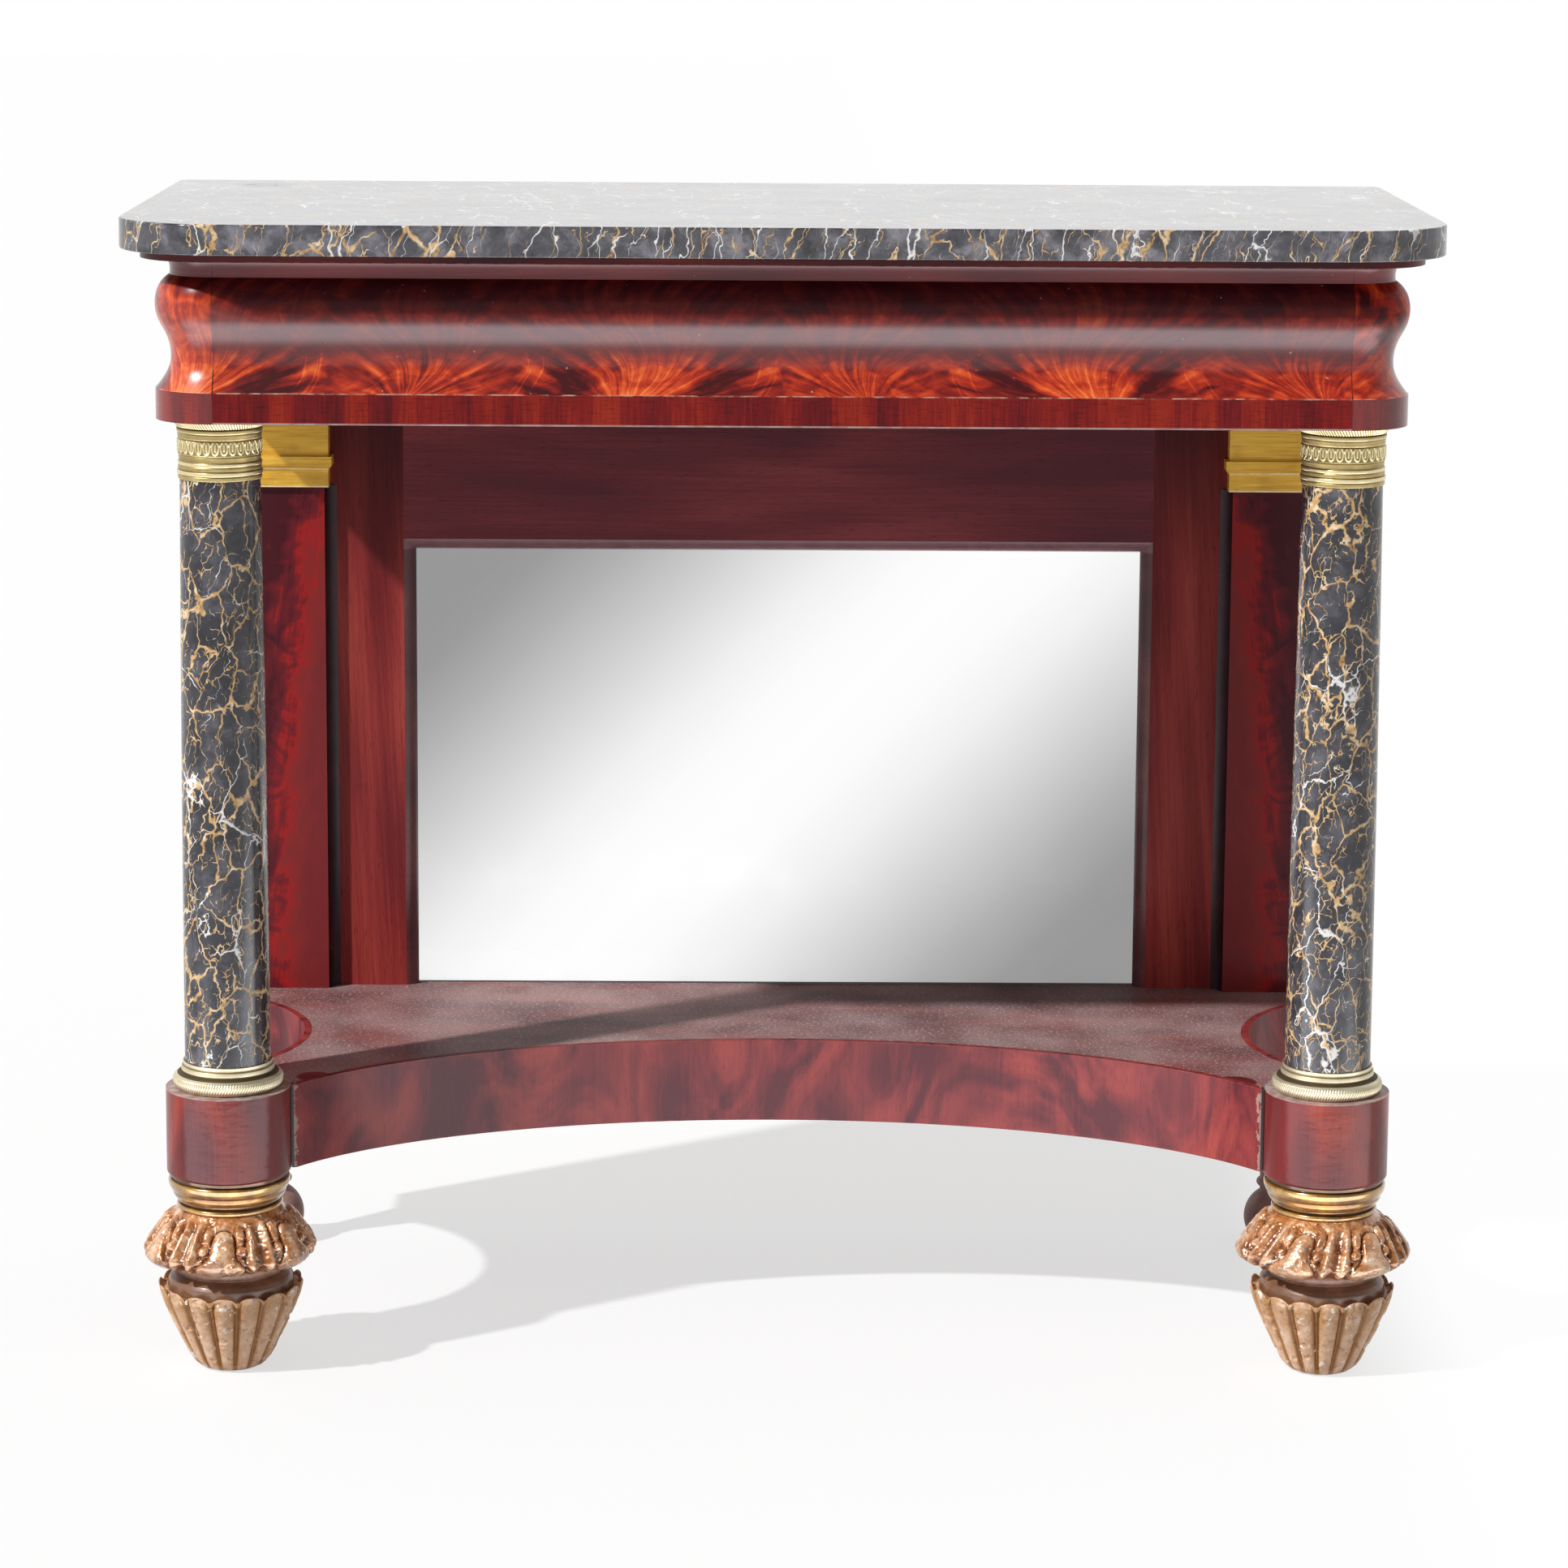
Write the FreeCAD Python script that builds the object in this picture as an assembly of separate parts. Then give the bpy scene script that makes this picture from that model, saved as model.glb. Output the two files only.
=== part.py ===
import FreeCAD
import Part
import math
import os

vector = FreeCAD.Vector

# Pier table, lengths in mm, angles in degrees.
# +X is the right end, +Y is the wall behind, +Z is up.
# The origin is on the floor under the middle of the slab.

# Overall size
table_width = 1050.0
table_depth = 490.0
table_height = 940.0

# Fits
curved_gap = 0.3
tenon_end_gap = 1.0
overrun = 6.0

# Marble slab
slab_thickness = 24.5
slab_overhang = 28.0
slab_front_corner_radius = 88.0
slab_back_corner_radius = 12.0
slab_arris_radius = 1.5

# Thin frame under the slab, its edge is the fillet
fillet_height = 6.5
fillet_projection = 10.5
fillet_board_width = 74.0

# Frieze
frieze_back_inset = 12.0
corner_radius = 50.0
band_height = 24.5
ogee_height = 90.0
ogee_depth = 12.6
neck_height = 13.5
neck_flare = 2.8
neck_hollow = 1.2
rail_thickness = 34.0
corner_block_reach = 40.0
ogee_height_shares = (0.0, 0.07, 0.14, 0.21, 0.285, 0.36, 0.43, 0.5, 0.575, 0.66, 0.74, 0.8, 0.87, 0.94, 1.0)
ogee_inset_shares = (0.04, 0.42, 0.73, 0.93, 1.0, 0.96, 0.83, 0.62, 0.32, 0.1, 0.03, 0.06, 0.19, 0.48, 0.98)
brace_width = 60.0
brace_thickness = 20.0
brace_seat_depth = 12.0
brace_place_share = 0.16

# Columns
column_foot_radius = 34.7
column_head_radius = 32.1
column_swell = 0.5
capital_height = 48.0
capital_radius = 32.6
capital_ring_radius = 36.5
capital_egg_radius = 34.0
capital_bead_radius = 33.6
capital_edge = 1.2
capital_ring_height = 8.0
capital_upper_bead_height = 2.2
capital_egg_height = 11.7
capital_egg_drop = 17.0
capital_lower_bead_height = 11.0
capital_lower_bead_lift = 3.2
capital_bead_count = 3
base_height = 22.5
base_torus_height = 12.0
base_torus_radius = 44.7
base_torus_flat_radius = 40.5
base_collar_radius = 36.4
base_step_radius = 37.6
base_step_height = 4.0
dowel_radius = 8.0
dowel_in_block = 30.0
dowel_in_shaft = 40.0

# Platform
drum_radius = 50.5
drum_height = 71.5
drum_foot_edge = 3.0
platform_inset = 3.0
platform_neck_share = 0.5
shelf_thickness = 15.0
front_hollow_end_inset = 17.0
front_hollow_depth = 254.6
front_hollow_apex = 151.0
side_hollow_depth_share = 0.294
side_hollow_drum_angle = 70.0
hollow_rail_thickness = 28.0
rail_lip = 6.0
rail_lift = 2.0
rear_block_depth = 80.0
tenon_height = 32.0
tenon_lift = 14.0
tenon_thickness = 12.0
drum_tenon_reach = 22.0
drum_tenon_root = 14.0
front_tenon_offset = 14.0
side_tenon_offset = 13.0

# Back of the table
post_width = 100.0
post_depth = 48.0
post_back_inset = 24.0
pilaster_thickness = 13.0
pilaster_capital_height = 100.0
pilaster_capital_projection = 4.0
pilaster_capital_lower_height = 16.0
pilaster_capital_middle_height = 11.0
pilaster_capital_middle_projection = 7.0
pilaster_capital_bevel = 3.0
cove_width = 9.5
cove_hollow_share = 0.36
stile_width = 67.5
stile_thickness = 16.0
top_rail_height = 147.0
moulding_width = 10.0
moulding_depth = 12.0
moulding_lip = 2.0
moulding_round_share = 0.62
glass_edge_gap = 2.0
backboard_thickness = 10.0
backboard_split_share = 0.52
post_tenon_width = 40.0
post_tenon_thickness = 20.0
post_tenon_length = 38.0

# Front feet
foot_height = 163.5
foot_tenon_radius = 14.0
foot_tenon_length = 28.0
foot_groove_radius = 46.0
foot_groove_height = 4.0
foot_ring_radius = 49.3
foot_ring_height = 9.5
foot_ring_inner_radius = 46.0
foot_second_radius = 45.6
foot_second_height = 6.5
foot_second_inner_radius = 43.0
foot_third_radius = 42.2
foot_third_height = 3.0
foot_third_inner_radius = 40.6
foot_neck_radius = 38.6
foot_neck_height = 1.0
foot_thin_ring_radius = 43.0
foot_thin_ring_height = 4.5
bell_height = 44.0
bell_radius = 73.0
bell_lobe_count = 12
bell_lobe_depth = 4.4
bell_twist = 9.0
bell_height_shares = (0.0, 0.07, 0.16, 0.27, 0.43, 0.59, 0.75, 0.886, 1.0)
bell_radius_shares = (0.68, 0.91, 0.975, 1.0, 0.945, 0.87, 0.79, 0.7, 0.595)
bell_lobe_shares = (0.25, 0.7, 0.9, 1.0, 1.0, 0.85, 0.6, 0.35, 0.1)
foot_bead_radius = 45.0
foot_bead_height = 10.0
foot_bead_inner_radius = 42.0
foot_ovolo_radius = 51.0
foot_ovolo_height = 9.5
foot_ovolo_round_share = 0.72
cone_height = 72.5
cone_rim_radius = 59.6
cone_rim_drop = 13.0
cone_toe_radius = 23.0
cone_ankle_radius = 33.5
cone_ankle_height = 8.0
petal_count = 16
petal_depth_share = 0.065
dish_floor_drop = 7.0
dish_floor_radius = 53.0
lobe_point_count = 6

# Rear feet
rear_foot_from_back = 44.0
rear_foot_outset = 3.0
rear_ball_radius = 27.0
rear_toe_radius = 11.0
rear_ring_radius = 16.5
rear_ring_height = 7.0
rear_neck_radius = 13.5
rear_neck_height = 4.0
rear_head_radius = 30.0
rear_head_height = 9.0
rear_tenon_radius = 12.0
rear_tenon_length = 22.0

# Heights of the joints between the layers
slab_bottom = table_height - slab_thickness
frieze_top = slab_bottom - fillet_height
ogee_top = frieze_top - neck_height
band_top = ogee_top - ogee_height
frieze_bottom = band_top - band_height
shaft_top = frieze_bottom - capital_height
shelf_top = foot_height + drum_height
shaft_bottom = shelf_top + base_height
rail_bottom = foot_height + rail_lift
board_bottom = shelf_top - shelf_thickness

# Plan positions
slab_front = -table_depth / 2
slab_back = table_depth / 2
face_x = table_width / 2 - slab_overhang
face_y = slab_front + slab_overhang
back_y = slab_back - frieze_back_inset
column_x = face_x - corner_radius
column_y = face_y + corner_radius
platform_half_width = face_x - platform_inset
post_inner = platform_half_width - post_width
stile_inner = post_inner - stile_width
post_back_y = slab_back - post_back_inset
mirror_y = post_back_y - post_depth
pilaster_y = mirror_y - pilaster_thickness
hollow_y = column_y + front_hollow_apex - front_hollow_depth
hollow_half_width = column_x - front_hollow_end_inset
block_front_y = post_back_y - rear_block_depth
rear_foot_x = (post_inner + platform_half_width) / 2 + rear_foot_outset
rear_foot_y = post_back_y - rear_foot_from_back
opening_top = frieze_bottom - top_rail_height

# The side hollow is an arc from the drum to the front corner of the rear block
drum_angle = math.radians(side_hollow_drum_angle)
hollow_start_x = column_x + drum_radius * math.cos(drum_angle)
hollow_start_y = column_y + drum_radius * math.sin(drum_angle)
hollow_start = vector(hollow_start_x, hollow_start_y, 0)
hollow_end = vector(platform_half_width, block_front_y, 0)
hollow_chord = hollow_end - hollow_start
side_hollow_depth = hollow_chord.Length * side_hollow_depth_share
side_hollow_radius = (hollow_chord.Length / 2) ** 2 / (2 * side_hollow_depth) + side_hollow_depth / 2
hollow_outward = vector(hollow_chord.y, -hollow_chord.x, 0).normalize()
centre_reach = side_hollow_radius - side_hollow_depth
side_hollow_centre = (hollow_start + hollow_end) / 2 + hollow_outward * centre_reach

os.makedirs("parts", exist_ok=True)


def box(x_from, x_to, y_from, y_to, z_from, z_to):
    return Part.makeBox(x_to - x_from, y_to - y_from, z_to - z_from, vector(x_from, y_from, z_from))


def cylinder(radius, x, y, z_from, z_to):
    return Part.makeCylinder(radius, z_to - z_from, vector(x, y, z_from))


def prism(points, along):
    return Part.Face(Part.makePolygon(points + [points[0]])).extrude(along)


def spline(points):
    curve = Part.BSplineCurve()
    curve.interpolate(points)
    return curve.toShape()


def arc(start, middle, end):
    return Part.Arc(start, middle, end).toShape()


def line(start, end):
    return Part.makeLine(start, end)


def turned(steps, x, y):
    # A step is (radius, height), or (radius, height, middle radius, middle height) for a rounded part.
    # The first and last steps lie on the inner wall or the axis.
    def place(radius, height):
        return vector(x + radius, y, height)

    edges = []
    for before, step in zip(steps, steps[1:] + steps[:1]):
        start = place(before[0], before[1])
        end = place(step[0], step[1])
        if len(step) > 2:
            edges.append(arc(start, place(step[2], step[3]), end))
        else:
            edges.append(line(start, end))
    face = Part.Face(Part.Wire(edges))
    return face.revolve(vector(x, y, 0), vector(0, 0, 1), 360)


def save(name, shape):
    shape.removeSplitter().exportStep("parts/" + name + ".step")


def save_group(name, shapes):
    Part.makeCompound(shapes).exportStep("parts/" + name + ".step")


def mirrored(shape):
    return shape.mirror(vector(0, 0, 0), vector(1, 0, 0))


def save_pair(name, right_shape):
    save(name + "_right", right_shape)
    save(name + "_left", mirrored(right_shape))


def rounded_plan(half_width, y_front, y_back, front_radius, back_radius, z_from, z_to):
    # A board with rounded corners in plan.
    def corner(x_side, y_edge, y_side, radius):
        middle_x = x_side * (half_width - radius)
        middle_y = y_edge - y_side * radius
        slant = radius * math.cos(math.pi / 4)
        on_edge = vector(middle_x, y_edge, z_from)
        between = vector(middle_x + x_side * slant, middle_y + y_side * slant, z_from)
        on_side = vector(x_side * half_width, middle_y, z_from)
        return on_edge, between, on_side

    front_left = corner(-1, y_front, -1, front_radius)
    front_right = corner(1, y_front, -1, front_radius)
    back_left = corner(-1, y_back, 1, back_radius)
    back_right = corner(1, y_back, 1, back_radius)
    edges = [
        line(front_left[0], front_right[0]),
        arc(*front_right),
        line(front_right[2], back_right[2]),
        arc(*back_right[::-1]),
        line(back_right[0], back_left[0]),
        arc(*back_left),
        line(back_left[2], front_left[2]),
        arc(*front_left[::-1]),
    ]
    return Part.Face(Part.Wire(edges)).extrude(vector(0, 0, z_to - z_from))


# Marble slab, all its long arrises eased
slab = rounded_plan(
    table_width / 2,
    slab_front,
    slab_back,
    slab_front_corner_radius,
    slab_back_corner_radius,
    slab_bottom,
    table_height,
)
level_edges = [edge for edge in slab.Edges if edge.BoundBox.ZLength < slab_arris_radius]
save("marble_top", slab.makeFillet(slab_arris_radius, level_edges))

# Thin frame under the slab: front board with rounded ends, two side boards and a back board
fillet_x = face_x + fillet_projection
fillet_y = face_y - fillet_projection
frame_split_y = fillet_y + fillet_board_width
frame_inner_x = fillet_x - fillet_board_width
fillet_board = rounded_plan(
    fillet_x,
    fillet_y,
    back_y,
    corner_radius + fillet_projection,
    slab_arris_radius,
    slab_bottom - fillet_height,
    slab_bottom,
)
beyond_x = fillet_x + overrun
front_zone = box(-beyond_x, beyond_x, fillet_y - overrun, frame_split_y, frieze_top, slab_bottom)
side_zone = box(frame_inner_x, beyond_x, frame_split_y, back_y + overrun, frieze_top, slab_bottom)
save("top_frame_front", fillet_board.common(front_zone))
save_pair("top_frame", fillet_board.common(side_zone))
save(
    "top_frame_back",
    box(-frame_inner_x, frame_inner_x, back_y - fillet_board_width, back_y, frieze_top, slab_bottom),
)


# Ogee frieze: the same section drawn for a straight rail and for a rounded corner
def frieze_section(place, inner_inset):
    ogee_points = [
        place(ogee_depth * inset_share, band_top + ogee_height * height_share)
        for height_share, inset_share in zip(ogee_height_shares, ogee_inset_shares)
    ]
    neck_inset = ogee_depth - neck_flare
    neck_foot = ogee_points[-1]
    neck_middle = place((ogee_depth + neck_inset) / 2 + neck_hollow, (ogee_top + frieze_top) / 2)
    neck_head = place(neck_inset, frieze_top)
    inner_head = place(inner_inset, frieze_top)
    inner_foot = place(inner_inset, band_top)
    edges = [
        spline(ogee_points),
        arc(neck_foot, neck_middle, neck_head),
        line(neck_head, inner_head),
        line(inner_head, inner_foot),
        line(inner_foot, ogee_points[0]),
    ]
    return Part.Face(Part.Wire(edges))


brace_x = table_width * brace_place_share
brace_front = face_y + rail_thickness - brace_seat_depth
brace_back = back_y - rail_thickness + brace_seat_depth
brace = box(
    brace_x - brace_width / 2,
    brace_x + brace_width / 2,
    brace_front,
    brace_back,
    frieze_top - brace_thickness,
    frieze_top,
)
save_pair("cross_brace", brace)
both_braces = brace.fuse(mirrored(brace))

front_section = frieze_section(
    lambda inset, height: vector(-column_x, face_y + inset, height),
    rail_thickness,
)
front_rail = front_section.extrude(vector(2 * column_x, 0, 0))
save("frieze_front_rail", front_rail.cut(both_braces))

side_section = frieze_section(
    lambda inset, height: vector(face_x - inset, column_y, height),
    rail_thickness,
)
save_pair("frieze_side_rail", side_section.extrude(vector(0, back_y - column_y, 0)))

side_inner_x = face_x - rail_thickness
back_rail = box(-side_inner_x, side_inner_x, back_y - rail_thickness, back_y, frieze_bottom, frieze_top)
save("frieze_back_rail", back_rail.cut(both_braces))

save("lower_band_front", box(-column_x, column_x, face_y, face_y + rail_thickness, frieze_bottom, band_top))
save_pair("lower_band", box(side_inner_x, face_x, column_y, back_y, frieze_bottom, band_top))

# Rounded corner block: a quarter turn of the section with the band under it, and a square heel inside
corner_section = frieze_section(
    lambda inset, height: vector(column_x, face_y + inset, height),
    corner_radius,
)
corner_turn = corner_section.revolve(vector(column_x, column_y, 0), vector(0, 0, 1), 90)
band_turn = Part.makeCylinder(
    corner_radius,
    band_height,
    vector(column_x, column_y, frieze_bottom),
    vector(0, 0, 1),
    90,
)
band_turn.rotate(vector(column_x, column_y, 0), vector(0, 0, 1), -90)
heel_step = corner_radius - rail_thickness
heel = box(
    column_x - corner_block_reach,
    column_x + heel_step,
    column_y - heel_step,
    column_y + corner_block_reach,
    frieze_bottom,
    frieze_top,
)
block_bore = cylinder(
    dowel_radius + curved_gap,
    column_x,
    column_y,
    frieze_bottom - overrun,
    frieze_bottom + dowel_in_block + tenon_end_gap,
)
save_pair("frieze_corner", corner_turn.fuse(band_turn).fuse(heel).cut(block_bore))

# Columns: brass capital, marble shaft, brass base, with dowels inside
dowel_bore = dowel_radius + curved_gap
ring_foot = frieze_bottom - capital_ring_height
upper_bead_foot = ring_foot - capital_upper_bead_height
egg_top = frieze_bottom - capital_egg_drop
egg_foot = egg_top - capital_egg_height
capital_steps = [
    (dowel_bore, frieze_bottom),
    (capital_ring_radius, frieze_bottom),
    (capital_ring_radius - capital_edge, ring_foot),
    (capital_radius, ring_foot),
    (capital_radius, upper_bead_foot, capital_bead_radius, (ring_foot + upper_bead_foot) / 2),
    (capital_radius, egg_top),
    (capital_radius, egg_foot, capital_egg_radius, (egg_top + egg_foot) / 2),
]
lower_bead_top = shaft_top + capital_lower_bead_lift + capital_lower_bead_height
bead_pitch = capital_lower_bead_height / capital_bead_count
capital_steps.append((capital_radius, lower_bead_top))
for bead in range(capital_bead_count):
    bead_top = lower_bead_top - bead * bead_pitch
    bead_foot = bead_top - bead_pitch
    capital_steps.append((capital_radius, bead_foot, capital_bead_radius, (bead_top + bead_foot) / 2))
capital_steps += [
    (capital_radius, shaft_top),
    (dowel_bore, shaft_top),
]
save_pair("column_capital", turned(capital_steps, column_x, column_y))

shaft_middle_radius = (column_foot_radius + column_head_radius) / 2 + column_swell
shaft_middle = (shaft_bottom + shaft_top) / 2
shaft = turned(
    [
        (0, shaft_bottom),
        (column_foot_radius, shaft_bottom),
        (column_head_radius, shaft_top, shaft_middle_radius, shaft_middle),
        (0, shaft_top),
    ],
    column_x,
    column_y,
)
upper_bore = cylinder(dowel_bore, column_x, column_y, shaft_top - dowel_in_shaft, shaft_top + overrun)
lower_bore_top = shaft_bottom + dowel_in_shaft + tenon_end_gap
lower_bore = cylinder(dowel_bore, column_x, column_y, shaft_bottom - overrun, lower_bore_top)
save_pair("column_shaft", shaft.cut(upper_bore).cut(lower_bore))

torus_top = shelf_top + base_torus_height
torus_middle = (shelf_top + torus_top) / 2
step_top = torus_top + base_step_height
base_steps = [
    (dowel_bore, shelf_top),
    (base_torus_flat_radius, shelf_top),
    (base_torus_flat_radius, torus_top, base_torus_radius, torus_middle),
    (base_step_radius, torus_top),
    (base_step_radius, step_top),
    (base_collar_radius, step_top),
    (base_collar_radius, shaft_bottom),
    (dowel_bore, shaft_bottom),
]
save_pair("column_base", turned(base_steps, column_x, column_y))

upper_dowel = cylinder(
    dowel_radius,
    column_x,
    column_y,
    shaft_top - dowel_in_shaft,
    frieze_bottom + dowel_in_block,
)
lower_dowel = cylinder(
    dowel_radius,
    column_x,
    column_y,
    shelf_top - dowel_in_block,
    shaft_bottom + dowel_in_shaft,
)
save_group("column_dowels", [upper_dowel, mirrored(upper_dowel), lower_dowel, mirrored(lower_dowel)])


# Platform: round drums, hollow rails and the shelf board
def front_hollow(growth, z_from, z_to):
    # Upright elliptical body whose outside is the hollow front, grown evenly backwards.
    curve = Part.Ellipse(
        vector(0, hollow_y, z_from),
        hollow_half_width + growth,
        front_hollow_depth + growth,
    )
    return Part.Face(Part.Wire(curve.toShape())).extrude(vector(0, 0, z_to - z_from))


def side_hollow(growth, z_from, z_to):
    return cylinder(side_hollow_radius + growth, side_hollow_centre.x, side_hollow_centre.y, z_from, z_to)


def platform_plan(z_from, z_to):
    # The platform before its hollows are cut: a body between the drums and a wider strip along the wall.
    neck_x = column_x + drum_radius * platform_neck_share
    body = box(-neck_x, neck_x, column_y, post_back_y, z_from, z_to)
    strip = box(-platform_half_width, platform_half_width, side_hollow_centre.y, post_back_y, z_from, z_to)
    return body.fuse(strip)


def drum_hole(z_from, z_to):
    hole = cylinder(drum_radius + curved_gap, column_x, column_y, z_from, z_to)
    return hole.fuse(mirrored(hole))


below = rail_bottom - overrun
above = shelf_top + overrun
board_growth = rail_lip + curved_gap
right_bite = side_hollow(board_growth, below, above)
board = platform_plan(board_bottom, shelf_top)
board = board.cut(front_hollow(board_growth, below, above))
board = board.cut(right_bite).cut(mirrored(right_bite)).cut(drum_hole(below, above))

post_middle_x = (post_inner + platform_half_width) / 2
post_middle_y = (mirror_y + post_back_y) / 2
tenon_foot = shelf_top - post_tenon_length
post_tenon = box(
    post_middle_x - post_tenon_width / 2,
    post_middle_x + post_tenon_width / 2,
    post_middle_y - post_tenon_thickness / 2,
    post_middle_y + post_tenon_thickness / 2,
    tenon_foot,
    shelf_top,
)
post_mortise = post_tenon.fuse(post_tenon.translated(vector(0, 0, -tenon_end_gap)))
save("shelf_board", board.cut(post_mortise).cut(mirrored(post_mortise)))

# Front rail: a curved rail with a lip that hides the edge of the board, and a tenon at each end
tenon_foot_z = rail_bottom + tenon_lift
tenon_head_z = tenon_foot_z + tenon_height
drum_inmost_x = column_x - drum_radius
front_tenon = box(
    drum_inmost_x - drum_tenon_root,
    drum_inmost_x + drum_tenon_reach,
    column_y + front_tenon_offset,
    column_y + front_tenon_offset + tenon_thickness,
    tenon_foot_z,
    tenon_head_z,
)


def hollow_rail(grown, z_from, z_to, thickness):
    return grown(thickness, z_from, z_to).cut(grown(0, z_from - overrun, z_to + overrun))


hollow_body = hollow_rail(front_hollow, rail_bottom, board_bottom, hollow_rail_thickness)
hollow_lip = hollow_rail(front_hollow, board_bottom, shelf_top, rail_lip)
hollow_front = hollow_body.fuse(hollow_lip).common(platform_plan(rail_bottom, shelf_top))
hollow_front = hollow_front.cut(drum_hole(below, above))
save("base_front_rail", hollow_front.fuse(front_tenon).fuse(mirrored(front_tenon)))

# Side rails
side_tenon_x = column_x - side_tenon_offset - tenon_thickness
drum_back_y = column_y + drum_radius
side_tenon = box(
    side_tenon_x,
    side_tenon_x + tenon_thickness,
    drum_back_y - drum_tenon_reach,
    drum_back_y + tenon_thickness,
    tenon_foot_z,
    tenon_head_z,
)
side_rail_body = hollow_rail(side_hollow, rail_bottom, board_bottom, hollow_rail_thickness)
side_rail_lip = hollow_rail(side_hollow, board_bottom, shelf_top, rail_lip)
body_zone = platform_plan(rail_bottom, board_bottom)
behind_block = box(0, platform_half_width + overrun, block_front_y, slab_back, rail_bottom, board_bottom)
side_rail = side_rail_body.common(body_zone.cut(behind_block))
side_rail = side_rail.fuse(side_rail_lip.common(platform_plan(board_bottom, shelf_top)))
side_rail = side_rail.cut(drum_hole(below, above)).fuse(side_tenon)
save_pair("base_side_rail", side_rail)

# Rear blocks and back rail
rear_bore_top = rail_bottom + rear_tenon_length + tenon_end_gap
rear_bore = cylinder(
    rear_tenon_radius + curved_gap,
    rear_foot_x,
    rear_foot_y,
    rail_bottom - overrun,
    rear_bore_top,
)
rear_block = box(post_inner, platform_half_width, block_front_y, post_back_y, rail_bottom, board_bottom)
save_pair("rear_block", rear_block.cut(rear_bore).cut(post_mortise))
back_rail_y = post_back_y - hollow_rail_thickness
save("base_back_rail", box(-post_inner, post_inner, back_rail_y, post_back_y, rail_bottom, board_bottom))

# Drums with their tenon slots and bores
drum = cylinder(drum_radius, column_x, column_y, foot_height, shelf_top)
foot_edges = [edge for edge in drum.Edges if edge.BoundBox.ZMax < foot_height + drum_foot_edge]
drum = drum.makeFillet(drum_foot_edge, foot_edges)
foot_bore = cylinder(
    foot_tenon_radius + curved_gap,
    column_x,
    column_y,
    foot_height - overrun,
    foot_height + foot_tenon_length + tenon_end_gap,
)
top_bore = cylinder(dowel_bore, column_x, column_y, shelf_top - dowel_in_block, shelf_top + overrun)
save_pair("plinth_drum", drum.cut(foot_bore).cut(top_bore).cut(front_tenon).cut(side_tenon))

# Back: posts, pilasters with their hollow strips and capitals
post = box(post_inner, platform_half_width, mirror_y, post_back_y, shelf_top, frieze_bottom)
save_pair("rear_post", post.fuse(post_tenon))

capital_foot = frieze_bottom - pilaster_capital_height
save_pair("pilaster", box(post_inner, platform_half_width, pilaster_y, mirror_y, shelf_top, capital_foot))

cove_inner_x = post_inner - cove_width
cove_front = vector(post_inner, pilaster_y, shelf_top)
cove_side = vector(cove_inner_x, mirror_y, shelf_top)
cove_corner = vector(post_inner, mirror_y, shelf_top)
cove_middle = vector(
    post_inner - cove_width * cove_hollow_share,
    mirror_y - pilaster_thickness * cove_hollow_share,
    shelf_top,
)
cove_face = Part.Face(
    Part.Wire(
        [
            arc(cove_front, cove_middle, cove_side),
            line(cove_side, cove_corner),
            line(cove_corner, cove_front),
        ]
    )
)
save_pair("pilaster_cove", cove_face.extrude(vector(0, 0, capital_foot - shelf_top)))


def capital_step(projection, z_from, z_to):
    return box(
        post_inner - projection,
        platform_half_width + projection,
        pilaster_y - projection,
        mirror_y,
        z_from,
        z_to,
    )


middle_foot = capital_foot + pilaster_capital_lower_height
middle_head = middle_foot + pilaster_capital_middle_height
middle_step = capital_step(pilaster_capital_middle_projection, middle_foot, middle_head)
low_edges = [edge for edge in middle_step.Edges if edge.BoundBox.ZMax < middle_foot + pilaster_capital_bevel]
bevel_edges = [edge for edge in low_edges if edge.BoundBox.YMin < mirror_y - pilaster_capital_bevel]
middle_step = middle_step.makeChamfer(pilaster_capital_bevel, bevel_edges)
upper_step = capital_step(pilaster_capital_projection, middle_head, frieze_bottom)
lower_step = capital_step(pilaster_capital_projection, capital_foot, middle_foot)
save_pair("pilaster_capital", upper_step.fuse(middle_step).fuse(lower_step))

# Mirror frame, mouldings, glass and backboards
stile_back_y = mirror_y + stile_thickness
save_pair("back_stile", box(stile_inner, post_inner, mirror_y, stile_back_y, shelf_top, frieze_bottom))
save("back_top_rail", box(-stile_inner, stile_inner, mirror_y, stile_back_y, opening_top, frieze_bottom))

glass_y = mirror_y + moulding_depth
lip_y = glass_y - moulding_lip


def moulding_section(place):
    # Rounded strip that falls from the frame's face towards the glass.
    outer_front = place(0, mirror_y)
    inner_front = place(moulding_width, lip_y)
    middle = place(
        moulding_width * moulding_round_share,
        mirror_y + (lip_y - mirror_y) * (1 - moulding_round_share),
    )
    inner_back = place(moulding_width, glass_y)
    outer_back = place(0, glass_y)
    return Part.Face(
        Part.Wire(
            [
                arc(outer_front, middle, inner_front),
                line(inner_front, inner_back),
                line(inner_back, outer_back),
                line(outer_back, outer_front),
            ]
        )
    )


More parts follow.
